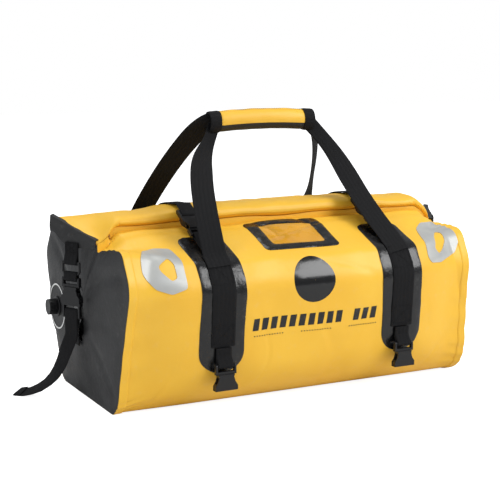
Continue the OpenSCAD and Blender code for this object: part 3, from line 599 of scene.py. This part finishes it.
def even(path, step=3.0):
    """The path again, with points that far apart."""
    path = np.asarray(path, float)
    lengths = np.concatenate([[0], np.linalg.norm(np.diff(path, axis=0), axis=1).cumsum()])
    count = max(3, int(lengths[-1] / step) + 1)
    wanted = np.linspace(0, lengths[-1], count)
    return np.stack([np.interp(wanted, lengths, path[:, i]) for i in range(path.shape[1])], axis=1)


def eased(values, passes=2):
    """Values along a path, smoothed but with both ends kept."""
    values = np.array(values, float)
    for _ in range(passes):
        values[1:-1] = (values[:-2] + 2 * values[1:-1] + values[2:]) / 4
    return values


def strap(name, path, across, width, body, slot, replaces=(), thick=WEB_THICK, material=None, curl=0.0):
    """A woven band along a path. across is the way its width runs at each point."""
    path = np.asarray(path, float)
    across = np.broadcast_to(np.asarray(across, float), path.shape)
    across = across / np.linalg.norm(across, axis=1, keepdims=True)
    width = np.broadcast_to(np.asarray(width, float), len(path))
    way = np.gradient(path, axis=0)
    out = np.cross(way, across)
    out = out / np.linalg.norm(out, axis=1, keepdims=True)
    flat = np.linspace(-1, 1, 9)
    outline_u = list(flat) + [1.03] + list(flat[::-1]) + [-1.03]
    edge_h = [0.55] + [1.0] * 7 + [0.55]
    outline_h = edge_h + [0.0] + [-h for h in edge_h] + [0.0]
    u, h = np.array(outline_u)[None, :], np.array(outline_h)[None, :]
    half = (width[:, None] / 2 - 0.4) * u
    lift = h * thick / 2 + curl * (u ** 2 - 0.3)
    points = path[:, None] + across[:, None] * half[..., None] + out[:, None] * lift[..., None]
    lengths = np.concatenate([[0], np.linalg.norm(np.diff(path, axis=0), axis=1).cumsum()])
    pattern = np.stack([half, lengths[:, None] + 0 * half], axis=-1).reshape(-1, 2)
    count = len(outline_u)
    faces = grid_faces(len(path), count, False, True)
    faces += [tuple(range(count)), tuple(range((len(path) - 1) * count, len(path) * count))]
    return mesh_piece(name, points.reshape(-1, 3), faces, pattern, body, slot, material or black_webbing,
                      replaces)


def stitches(name, lines, body, pitch=3.4, length=2.5, thick=0.42):
    """Thread dashes along lines of points that lie on a surface."""
    points, faces = [], []
    for line in lines:
        line = even(line, pitch)
        for a, b in zip(line[:-1], line[1:]):
            way = (b - a) / np.linalg.norm(b - a)
            side = np.cross(way, [0.31, 0.22, 0.93])
            side = side / np.linalg.norm(side)
            up = np.cross(side, way)
            first = len(points)
            points.append(a)
            for t in (0.22, 0.78):
                ring_centre = a + way * length * t
                for q in range(4):
                    c, s = math.cos(q * math.pi / 2), math.sin(q * math.pi / 2)
                    points.append(ring_centre + (side * c + up * s) * thick)
            points.append(a + way * length)
            for q in range(4):
                r = (q + 1) % 4
                faces.append((first, first + 1 + r, first + 1 + q))
                faces.append((first + 1 + q, first + 1 + r, first + 5 + r, first + 5 + q))
                faces.append((first + 5 + q, first + 5 + r, first + 9))
    points = np.array(points)
    return mesh_piece(name, points, faces, points[:, :2], body, "black_webbing", black_thread)


def box_cross(place, u0, u1, v0, v1):
    """Lines of a boxed cross; place(u, v) gives the surface point."""
    corners = [(u0, v0), (u1, v0), (u1, v1), (u0, v1), (u0, v0)]
    ways = list(zip(corners[:-1], corners[1:])) + [((u0, v0), (u1, v1)), ((u0, v1), (u1, v0))]
    found = []
    for (ua, va), (ub, vb) in ways:
        found.append(np.array([place(ua + (ub - ua) * t, va + (vb - va) * t) for t in np.linspace(0, 1, 9)]))
    return found


anchor_z = np.linspace(103, 233, 46)
anchor_path = skin(-STRAP_X, front_row(anchor_z), PATCH_THICK + 0.85)
for side_name, x_sign, y_sign in SIDES:
    strap(side_name + "_anchor_strap", placed(anchor_path, x_sign, y_sign), (1, 0, 0), 38, "bag",
          "black_webbing", [side_name + "_anchor_webbing"])

    def on_anchor(u, v):
        return placed(skin(-STRAP_X + u, front_row(v), PATCH_THICK + 1.75), x_sign, y_sign)

    seams = box_cross(on_anchor, -16, 16, 108, 136) + box_cross(on_anchor, -16, 16, 196, 226)
    stitches(side_name + "_anchor_stitching", seams, "bag")


# ---- Lashing loops -----------------------------------------------------------------------
# A short 25 mm strap doubled round the bar of each hanging buckle, its ends under the anchor
# strap. The buckle swings in it.
TILT = math.atan2(14, 192)


def face_point(height, out):
    """(y, z) on the sloping front, out from the fabric."""
    return (-(172 + 14 * height / 192) - out / math.cos(TILT), height)


def wrap(centre, come, leave, side, radius):
    """Arc round a bar, from the line that comes from one point to the line that leaves for another."""
    centre, come, leave = (np.array(p, float) for p in (centre, come, leave))

    def heading(v):
        return math.atan2(v[1], v[0])

    def left_of(v):
        return np.array([-v[1], v[0]])

    a0, a1 = heading(left_of(centre - come) * side), heading(left_of(leave - centre) * side)
    span = ((a0 - a1) * side) % (2 * math.pi)
    steps = max(2, math.ceil(span / math.radians(15)))
    found = []
    for i in range(steps + 1):
        a = a0 - side * span * i / steps
        found.append(centre + radius * np.array([math.cos(a), math.sin(a)]))
    return found


LOOP_R = 2.2 + 0.3 + 0.8
hang_at = face_point(76, 9.5)
inner, outer = PATCH_THICK + 0.82, PATCH_THICK + 0.82 + 1.7
low_in, low_out = face_point(86, inner), face_point(89, outer)
loop_yz = [face_point(102, inner), low_in] + wrap(hang_at, low_in, low_out, 1, LOOP_R)
loop_yz += [low_out, face_point(102, outer)]
loop_path = eased(even(np.array([(-STRAP_X, y, z) for y, z in loop_yz]), 1.5), 1)
for side_name, x_sign, y_sign in SIDES:
    strap(side_name + "_lashing_strap", placed(loop_path, x_sign, y_sign), (1, 0, 0), 25, "bag",
          "black_webbing", [side_name + "_lashing_loop"])


# ---- Carry handle ------------------------------------------------------------------------
# Two loops of the 38 mm webbing rise from the patches and meet in a padded grip: a yellow
# wrap of coated foam, closed with a flap over a black strip, with a black collar at each end.
GRIP_Z = 437 - 33 / 2


def crown(x):
    """How far the grip's ends hang below its middle."""
    x = np.abs(x)
    return -3.6 * (np.minimum(x, 86) / 86) ** 2 * smooth_step(1 - (x - 86) / 60)


def shoulder(y, out):
    """(y, z) on the front shoulder at that depth, out above the fabric."""
    return (-y, 267 - (y - 60) * math.tan(SHOULDER_SLOPE) + out / math.cos(SHOULDER_SLOPE))


start = shoulder(153, PATCH_THICK + 1.5 * WEB_THICK + 0.05)
root = skin(-STRAP_X, front_row(np.linspace(219, 232.5, 6)), PATCH_THICK + 1.5 * WEB_THICK + 0.1)
t = np.linspace(0, 1, 70)
weights = np.stack([(1 - t) ** 3, 3 * t * (1 - t) ** 2, 3 * t ** 2 * (1 - t), t ** 3], axis=1)

# Each leg as it would lie at the front left: two bends, how far its top lies below the grip's
# middle, and how much it is folded narrower there.
LEGS = {"front_left": [(-165, -94, 384), (-101, -5, 359), 3, 17],
        "front_right": [(-132, -50, 316), (-146, -13, 355), 2, 13],
        "back_left": [(-175, -121, 261), (-103, 1, 437), 0, 11],
        "back_right": [(-160, -100, 300), (-118, -3, 418), 0, 11]}
for side_name, x_sign, y_sign in SIDES:
    low_bend, high_bend, below, folded = LEGS[side_name]
    leg = weights @ np.array([(-STRAP_X, start[0], start[1]), low_bend, high_bend,
                              (-84, -2.6, GRIP_Z - below)])
    turned = 1.1 * smooth_step(t / 0.35) * (1 - smooth_step((t - 0.8) / 0.2)) * (side_name == "back_right")
    leg_face = np.stack([turned, -0.85 - 0.15 * t, 0.53 * (1 - t)], axis=1)
    leg_face /= np.linalg.norm(leg_face, axis=1, keepdims=True)
    leg_across = np.cross(leg_face, np.gradient(leg, axis=0))
    leg[:, 2] += crown(leg[:, 0])
    leg[:, 1] += 1.3 * np.sin(t * math.pi) * np.sin(t * 7)
    narrow = 38 - folded * (smooth_step((t - 0.4) / 0.5) if y_sign < 0 else smooth_step((t - 0.72) / 0.28))
    leg_full = np.concatenate([root, leg[1:]])
    across_full = np.concatenate([np.repeat(leg_across[:1], 6, axis=0), leg_across[1:]])
    flip = np.array([-x_sign, -y_sign, 1])
    made = strap(side_name + "_handle_strap", eased(leg_full * flip, 3), eased(across_full * flip, 3),
                 np.concatenate([np.full(6, 38.0), narrow[1:]]), "bag", "black_webbing",
                 [side_name.split("_")[0] + "_handle_legs"] if x_sign < 0 else (), curl=0.5)
    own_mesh(made)


def grip_ring(degrees, depth, x):
    """Points of the grip's section, from the front over the top, depth under its surface."""
    a = np.radians(degrees)
    y = -(13.5 - depth) * np.cos(a)
    z = (16.5 - depth) * np.sin(a) + GRIP_Z + crown(x)
    return np.stack(np.broadcast_arrays(x, y, z), axis=-1)


def grip_shell(name, a0, a1, d0, d1, x0, x1, body, slot, material, replaces=(), puff=0.0):
    """Part of the grip's tube between two angles and two depths."""
    angles = np.linspace(a0, a1, max(8, int((a1 - a0) / 5)))[None, :]
    along = np.linspace(x0, x1, max(4, int((x1 - x0) / 3)))[:, None]
    edges = smooth_step((angles - a0) / 8) * smooth_step((a1 - angles) / 8)
    soft = puff * waves(along, angles * 0.26, 30, 91) * edges
    ends = 0.9 * np.exp(-((np.minimum(along - x0, x1 - along)) / 2.4) ** 2)
    return slab(name, grip_ring(angles, d0 + ends - soft, along), grip_ring(angles + 0 * along, d1, along),
                body, slot, material, replaces)


grip_pvc = fabric("yellow_pvc_over_foam", "#EEBB37", "#E6AD2C", 0.44, 1.3, 0.03, crease=0.0006)
cover = grip_shell("grip_padded_cover", 64, 262, 0.0, 2.4, -75, 75, "carry_handle", "yellow_coated_fabric",
                   grip_pvc, ["grip_cover"], puff=0.35)
grip_shell("grip_closing_strip", -97, -22, 0.15, 2.9, -75, 75, "carry_handle", "black_coated_fabric",
           black_pvc, ["grip_lap"], puff=0.15)
grip_shell("grip_strip_under_flap", -24, 25, 1.75, 2.9, -74.6, 74.6, "carry_handle", "black_coated_fabric",
           black_pvc)
flap = grip_shell("grip_closing_flap", -20, 62.5, 0.0, 1.35, -74.5, 74.5, None, "yellow_coated_fabric",
                  grip_pvc, ["grip_flap"], puff=0.3)
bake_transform(flap)
for end_name, sign in (("left", -1), ("right", 1)):
    low_x, high_x = sorted((sign * 74.6, sign * 93.0))
    grip_shell(end_name + "_grip_collar", 0.0, 359.5, -1.3, 2.4, low_x, high_x, "carry_handle",
               "black_welded_patch", black_webbing, ["grip_collars"] if sign < 0 else ())
grip_x = np.linspace(-85, 85, 50)
for row, y in enumerate((-2.6, 2.6)):
    strap(("front", "back")[row] + "_grip_band",
          np.stack([grip_x, 0 * grip_x + y, GRIP_Z + crown(grip_x)], axis=1), (0, 0, 1), 26, "carry_handle",
          "black_webbing", ["grip_webbing"] if row == 0 else ())


def on_flap(u, v):
    return grip_ring(v, -0.12, np.array(u))


seams = [np.array([on_flap(x, a) for x in np.linspace(-71, 71, 30)]) for a in (254.0, 76.0)]
seams += [np.array([on_flap(x, a) for a in np.linspace(80, 256, 36)]) for x in (-71.5, 71.5)]
stitches("grip_cover_stitching", seams, "carry_handle", thick=0.36)


# ---- Straps over the roll ----------------------------------------------------------------
# 25 mm straps sewn to the back patches run over the roll to the male half of a buckle; the
# female half hangs on a loop sewn to the front patch. Pulling the strap flattens the roll.
LEAN = math.radians(30)
tangent = math.atan(27 / 76 / math.tan(LEAN))
top_start = np.array([-12 - 38 * math.cos(tangent) - 4.2 * math.sin(LEAN),
                      280.5 + 13.5 * math.sin(tangent) + 4.2 * math.cos(LEAN)])


def on_strap(s, out):
    """(y, z) at s down the leaning buckle's line and out above it."""
    down_slope = np.array([-math.cos(LEAN), -math.sin(LEAN)])
    off_slope = np.array([-math.sin(LEAN), math.cos(LEAN)])
    return top_start + s * down_slope + out * off_slope


RUN_OUT = 1.8 + 0.3 + 0.8
mid_s = 29 - 11 - 0.3
over_z = 267 + 27 + 0.3 + 0.8


def back_shoulder(y, out):
    front = shoulder(y, out)
    return (-front[0], front[1])


turn_back = []
for degrees in range(0, 181, 15):
    a = math.radians(degrees)
    turn_back.append(on_strap(mid_s + RUN_OUT * math.sin(a), RUN_OUT * math.cos(a)))
sewn = PATCH_THICK + WEB_THICK / 2 + 0.1
over_yz = [back_shoulder(144, sewn), back_shoulder(122, sewn), back_shoulder(96, sewn + 5),
           (20, over_z - 3.2), (2, over_z), (-20, over_z + 1.0), on_strap(-9, RUN_OUT)]
over_yz = list(eased(even(np.array(over_yz), 3), 4)) + turn_back + [on_strap(mid_s - 11, -RUN_OUT)]
top_bar = on_strap(29 + 36, 0)
leave_low, leave_up = shoulder(125, inner), shoulder(127, outer)
under_yz = [shoulder(144, inner), leave_low] + wrap(top_bar, leave_low, leave_up, -1, LOOP_R)
under_yz += [leave_up, shoulder(144, outer)]
for end_name, x_sign in (("left", -1), ("right", 1)):
    over_path = even([(x_sign * STRAP_X, y, z) for y, z in over_yz], 2)
    made = strap(end_name + "_roll_strap", over_path, (1, 0, 0), 25, None, "black_webbing",
                 [end_name + "_top_strap"])
    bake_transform(made)
    strap(end_name + "_roll_buckle_strap", even([(x_sign * STRAP_X, y, z) for y, z in under_yz], 1.5),
          (1, 0, 0), 25, "bag", "black_webbing", [end_name + "_top_buckle_loop"])


# ---- Window pocket, badge and print ------------------------------------------------------
# A welded black frame holds a clear film over a card slot. Below it a glossy black disc, a row
# of plain slanted bars and three rows of dots are printed on the front.
def on_front(u, v):
    """x and outline row of a place on the slope: u along and v up from the window's middle."""
    height = 250.05 + np.asarray(v, float) * math.sin(SHOULDER_SLOPE)
    return np.asarray(u, float), front_row(height)


def rounded_box(half_u, half_v, radius):
    """Points round a rounded rectangle: 12 on each corner and 28 on each side."""
    arcs = []
    for q, (cu, cv) in enumerate(((1, 1), (-1, 1), (-1, -1), (1, -1))):
        a = np.radians(90 * q + np.linspace(0, 90, 12))
        middle = np.array([cu * (half_u - radius), cv * (half_v - radius)])
        arcs.append(middle + radius * np.stack([np.cos(a), np.sin(a)], axis=1))
    sides = [np.linspace(arc[-1], arcs[(q + 1) % 4][0], 30)[1:-1] for q, arc in enumerate(arcs)]
    return np.concatenate([part for pair in zip(arcs, sides) for part in pair])


window_out, window_in = rounded_box(65, 45, 9), rounded_box(46, 30, 6)
share = np.linspace(0, 1, 7)[None, :, None]
frame_uv = window_out[:, None] * (1 - share) + window_in[:, None] * share
frame_x, frame_k = on_front(frame_uv[..., 0], frame_uv[..., 1])
puff = 1.5 + 0.5 * np.sin(share[..., 0] * math.pi) + 0.35 * waves(frame_x, frame_uv[..., 1], 40, 101)
puff[:, 0] = 0.5
puff[:, -1] = 0.9
slab("window_pocket_frame", skin(frame_x, frame_k, puff), skin(frame_x, frame_k, -0.8), "bag",
     "black_welded_patch", glossy_patch, ["id_window_frame"], closed=True)

clear_film, tree = new_material("clear_vinyl_film")
ripples = add(tree, "TexNoise", {"Vector": add(tree, "TexCoord").outputs["Object"], "Scale": 22.0,
                                 "Detail": 2.0})
bumps = add(tree, "Bump", {"Height": ripples.outputs[0], "Distance": 0.002, "Strength": 0.6})
gloss = add(tree, "BsdfGlossy", {"Color": (1, 1, 1, 1), "Roughness": 0.08, "Normal": bumps.outputs[0]})
through = add(tree, "BsdfTransparent", {"Color": (0.97, 0.97, 0.96, 1)})
facing = add(tree, "Fresnel", {"IOR": 1.45, "Normal": bumps.outputs[0]})
film = add(tree, "MixShader", {0: facing.outputs[0], 1: through.outputs[0], 2: gloss.outputs[0]})
add(tree, "OutputMaterial", {"Surface": film.outputs[0]})
film_u, film_v = np.linspace(-48.5, 48.5, 40)[None, :], np.linspace(-32, 32, 20)[:, None]
film_x, film_k = on_front(film_u + 0 * film_v, film_v + 0 * film_u)
wavy = 0.55 + 0.2 * waves(film_x, film_v + 0 * film_u, 34, 111)
film_grid = skin(film_x, film_k, wavy)
mesh_piece("window_clear_film", film_grid.reshape(-1, 3), grid_faces(20, 40), grid_pattern(film_grid), "bag",
           "clear_film", clear_film, ["id_window_film"])

ring_t = np.linspace(0, 2 * math.pi, 65)[:-1, None]
ring_r = np.linspace(0.01, 1, 10)[None, :]
disc_x = 35 * ring_r * np.cos(ring_t) - 3
disc_k = front_row(190 + 34 * ring_r * np.sin(ring_t))
gloss_black = fabric("gloss_black_print_film", "#0C0C0D", "#09090A", 0.14, 2.4, 0.004, crease=0.0002,
                     wear=0.02)
slab("badge_film", skin(disc_x, disc_k, 0.55 - 0.3 * ring_r ** 8), skin(disc_x, disc_k, -0.6), "bag",
     "black_print", gloss_black, ["badge_disc"], closed=True)

bar_material = fabric("black_screen_print", "#141414", "#101010", 0.42, 1.3, 0.015, wear=0.06)
marks, mark_faces = [], []


def printed_mark(x0, x1, z0, z1, slant):
    """A flat mark that follows the fabric."""
    rows = max(2, int((z1 - z0) / 2.5) + 1)
    z, x = np.linspace(z0, z1, rows)[:, None], np.linspace(x0, x1, 4)[None, :]
    mark_faces.extend(grid_faces(rows, 4, first=len(marks)))
    marks.extend(skin(x + slant * (z - z0), front_row(z), 0.35).reshape(-1, 3))


for j in range(14):
    if j != 10:
        printed_mark(-107 + 15.6 * j, -97 + 15.6 * j, 121, 139, 0.16)
for group in (-104, -24, 58):
    for j in range(12):
        printed_mark(group + 4.4 * j, group + 4.4 * j + 1.7, 111.6, 113.3, 0)
marks = np.array(marks)
mesh_piece("printed_bars", marks, mark_faces, marks[:, [0, 2]], "bag", "black_print", bar_material)


# ---- Reflective patches ------------------------------------------------------------------
# Silver reflective film near each end of the front: a rounded shape with a hole in it.
silver, tree = new_material("glass_bead_reflective_film")
place = add(tree, "UVMap", uv_map="pattern").outputs[0]
cells = add(tree, "TexVoronoi", {"Vector": place, "Scale": 900.0})
glow = add(tree, "TexNoise", {"Vector": add(tree, "TexCoord").outputs["Object"], "Scale": 30.0,
                              "Detail": 3.0})
tone = add(tree, "Mix", {0: glow.outputs[0], 6: linear("#A2A4A6"), 7: linear("#C2C2BB")}, data_type="RGBA")
beads = add(tree, "Bump", {"Height": cells.outputs[0], "Distance": 0.0001, "Strength": 0.4})
metal = add(tree, "BsdfPrincipled", {"Base Color": tone.outputs[2], "Metallic": 0.25, "Roughness": 0.46,
                                     "Normal": beads.outputs[0]})
add(tree, "OutputMaterial", {"Surface": metal.outputs[0]})


def loop_points(corners, passes, count=144):
    """A closed outline near the corners, rounded by passes of smoothing, its points evenly apart."""
    corners = np.array(corners, float)
    path = even(np.concatenate([corners, corners[:1]]), 1.0)[:-1]
    for _ in range(passes):
        path = (np.roll(path, 1, axis=0) + 2 * path + np.roll(path, -1, axis=0)) / 4
    wanted = np.linspace(0, len(path), count, endpoint=False)
    closed = np.concatenate([path, path[:1]])
    return np.stack([np.interp(wanted, np.arange(len(closed)), closed[:, i]) for i in (0, 1)], 1)


left_outer = loop_points([(-273, 222), (-258, 237), (-238, 244), (-212, 243), (-211, 228), (-212, 193),
                          (-236, 186), (-260, 192), (-276, 208)], 16)
left_inner = loop_points([(-250, 215), (-232, 226), (-225, 220), (-225, 205), (-234, 201), (-249, 211)], 10)
right_outer = loop_points([(244, 251), (274, 253), (292, 246), (297, 232), (289, 216), (276, 203),
                           (238, 193), (217, 196), (211, 206), (215, 228), (228, 244)], 12)
right_inner = loop_points([(257, 231), (264, 228), (261, 220), (250, 211), (238, 206), (232, 214),
                           (240, 226)], 8)
for end_name, outer_loop, inner_loop in (("left", left_outer, left_inner),
                                         ("right", right_outer, right_inner)):
    share = np.linspace(0, 1, 16)[None, :, None]
    area = outer_loop[:, None] * (1 - share) + inner_loop[:, None] * share
    area_k = front_row(area[..., 1])
    slab(end_name + "_reflective_film", skin(area[..., 0], area_k, 0.9), skin(area[..., 0], area_k, -0.5),
         "bag", "reflective_film", silver, ["reflective_patches"] if end_name == "left" else (), closed=True)


# ---- Roll-end hardware -------------------------------------------------------------------
# At each end a tab holds a D-ring, and a loop joins it to a side-release buckle. The strap is
# sewn to the end panel, runs up to the buckle's ladder and back down; its free end lies out.
RING_OUT = 3 + 1.6 + 0.3 + 2
TAB_R = 2 + 0.3 + 0.8
RING_Z = 216
tab_path = [end_place(RING_OUT - TAB_R, 246), end_place(RING_OUT - TAB_R, 232)]
for degrees in range(0, 181, 15):
    a = math.radians(degrees)
    tab_path.append(end_place(RING_OUT - TAB_R * math.cos(a), RING_Z - TAB_R * math.sin(a)))
tab_path += [end_place(RING_OUT - TAB_R + 1.9, RING_Z + 14), end_place(RING_OUT - TAB_R + 1.9, 246)]
bar_z = RING_Z - 17 - 8
join_path = []
for degrees in range(0, 361, 15):
    a = math.radians(degrees)
    middle_z = RING_Z - 17 if degrees <= 180 else bar_z
    join_path.append(end_place(RING_OUT - TAB_R * math.cos(a), middle_z + TAB_R * math.sin(a)))
join_path.append(join_path[0])
ladder_z = bar_z - 36 - 11.3
bend_path = []
for degrees in range(-90, 91, 15):
    a = math.radians(degrees)
    bend_path.append(end_place(RING_OUT + RUN_OUT * math.sin(a), ladder_z + RUN_OUT * math.cos(a)))
back, front = end_place(RING_OUT - RUN_OUT, 0), end_place(RING_OUT + RUN_OUT, 0)
rise_path = [(-316, 0, 86), (-316, 0, 100), (-318, -3, 107), (-316 * 0.25 + back[0] * 0.75, -11, 119),
             (back[0], back[1], 128)]
fall_path = [(front[0], front[1], 124), (front[0], front[1], 104), (-339, -12, 80), (-343, -4, 61),
             (-349, 5, 44), (-355, 15, 32), (-363, 28, 20), (-372, 43, 11), (-381, 56, 5), (-391, 70, 2.4)]
FACES = [(1, 0, 0), (1, 0, 0), (1, 0.1, -0.3), (0.9, 0.35, -0.6), tuple(-FOLD_OUT)]
for degrees in range(-90, 91, 15):
    a = math.radians(degrees)
    FACES.append(tuple(FOLD_OUT * math.sin(a) + [0, 0, math.cos(a)]))
for j in range(10):
    t = max(0, j - 1) / 8
    FACES.append(tuple(FOLD_OUT * (1 - t) + np.array([-0.35, 0.1, 0.95]) * t))
strap_path = np.array([tuple(p) for p in rise_path + bend_path + fall_path])
strap_face = np.array(FACES)
strap_across = np.cross(strap_face, np.gradient(strap_path, axis=0))
strap_across = strap_across / np.linalg.norm(strap_across, axis=1, keepdims=True)
agrees = np.concatenate([[1], (strap_across[1:] * strap_across[:-1]).sum(axis=1)])
flipped = np.cumprod(np.where(agrees < 0, -1, 1))
strap_across = strap_across * flipped[:, None]
joined = even(np.concatenate([strap_path, strap_across * 40], axis=1), 2.2)
joined = np.concatenate([joined[:8], eased(joined[8:], 2)])
for end_name, sign in (("left", -1), ("right", 1)):
    flip = np.array([-sign, 1, 1])
    strap(end_name + "_ring_tab", even(np.array(tab_path) * flip, 1.5), FOLD_ALONG * flip, 25, "bag",
          "black_webbing", [end_name + "_end_tab"])
    strap(end_name + "_ring_loop", np.array(join_path) * flip, FOLD_ALONG * flip, 25, "bag", "black_webbing",
          [end_name + "_end_buckle_loop"])
    made = strap(end_name + "_closing_strap", joined[:, :3] * flip, joined[:, 3:] * flip, 25, None,
                 "black_webbing", [end_name + "_end_strap"])
    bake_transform(made)

    # The free end is folded over in a hem.
    tip = joined[-7:, :3] + [0, 0, 1.5]
    strap(end_name + "_strap_hem", tip * flip, joined[-7:, 3:] * flip, 25, "bag", "black_webbing")

    def on_tab(u, v):
        return end_place(RING_OUT - TAB_R + 3.0, v, u) * flip

    stitches(end_name + "_tab_stitching", box_cross(on_tab, -10, 10, 231, 244), "bag", pitch=3.0, length=2.2)


# ---- Moulded hardware --------------------------------------------------------------------
# Buckles and D-rings are moulded in black nylon and the valve in black polyurethane, with a
# fine spark texture and soft corners. The ring round the valve is printed in white.
def moulded(name, colour, rough, grain):
    """Moulded plastic with a fine texture of that size in millimetres."""
    made, tree = new_material(name)
    space = add(tree, "TexCoord").outputs["Object"]
    speck = add(tree, "TexNoise", {"Vector": space, "Scale": 1 / (grain * MM), "Detail": 3.0})
    broad = add(tree, "TexNoise", {"Vector": space, "Scale": 60.0, "Detail": 4.0})
    tone = add(tree, "Mix", {0: broad.outputs[0], 6: linear(colour), 7: linear("#1C1C1E")}, data_type="RGBA")
    gloss = add(tree, "MapRange", {"Value": broad.outputs[0], "To Min": rough - 0.08, "To Max": rough + 0.1})
    spark = add(tree, "Bump", {"Height": speck.outputs[0], "Distance": 0.00008, "Strength": 0.5})
    body = add(tree, "BsdfPrincipled", {"Base Color": tone.outputs[2], "Roughness": gloss.outputs[0],
                                        "Normal": spark.outputs[0], "Specular IOR Level": 0.35})
    add(tree, "OutputMaterial", {"Surface": body.outputs[0]})
    return made


def finish_node(name, material, width=0.5):
    """Gives a CAD node its material and softened corners."""
    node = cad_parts[name]
    node.data.materials.clear()
    node.data.materials.append(material)
    weld = node.modifiers.new("weld", "WELD")
    weld.merge_threshold = 0.00001
    bevel = node.modifiers.new("soft_corners", "BEVEL")
    bevel.width = width * MM
    bevel.segments = 2
    bevel.limit_method = "ANGLE"
    bevel.angle_limit = math.radians(35)
    bevel.harden_normals = True
    return node


nylon = moulded("black_moulded_nylon", "#101011", 0.34, 0.5)
rubber = moulded("black_moulded_polyurethane", "#131314", 0.45, 0.4)
white_ink = fabric("white_screen_print", "#E6E6E4", "#D2D2D0", 0.5, 1.3, 0.01, wear=0.1)
for node_name in sorted(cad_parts):
    if "buckle" in node_name and "loop" not in node_name or "d_ring" in node_name:
        finish_node(node_name, nylon)
for node_name, width in (("valve_body", 0.4), ("valve_knob", 0.35), ("valve_nut", 0.5)):
    finish_node(node_name, rubber, width)
finish_node("valve_label_ring", white_ink, 0.1)
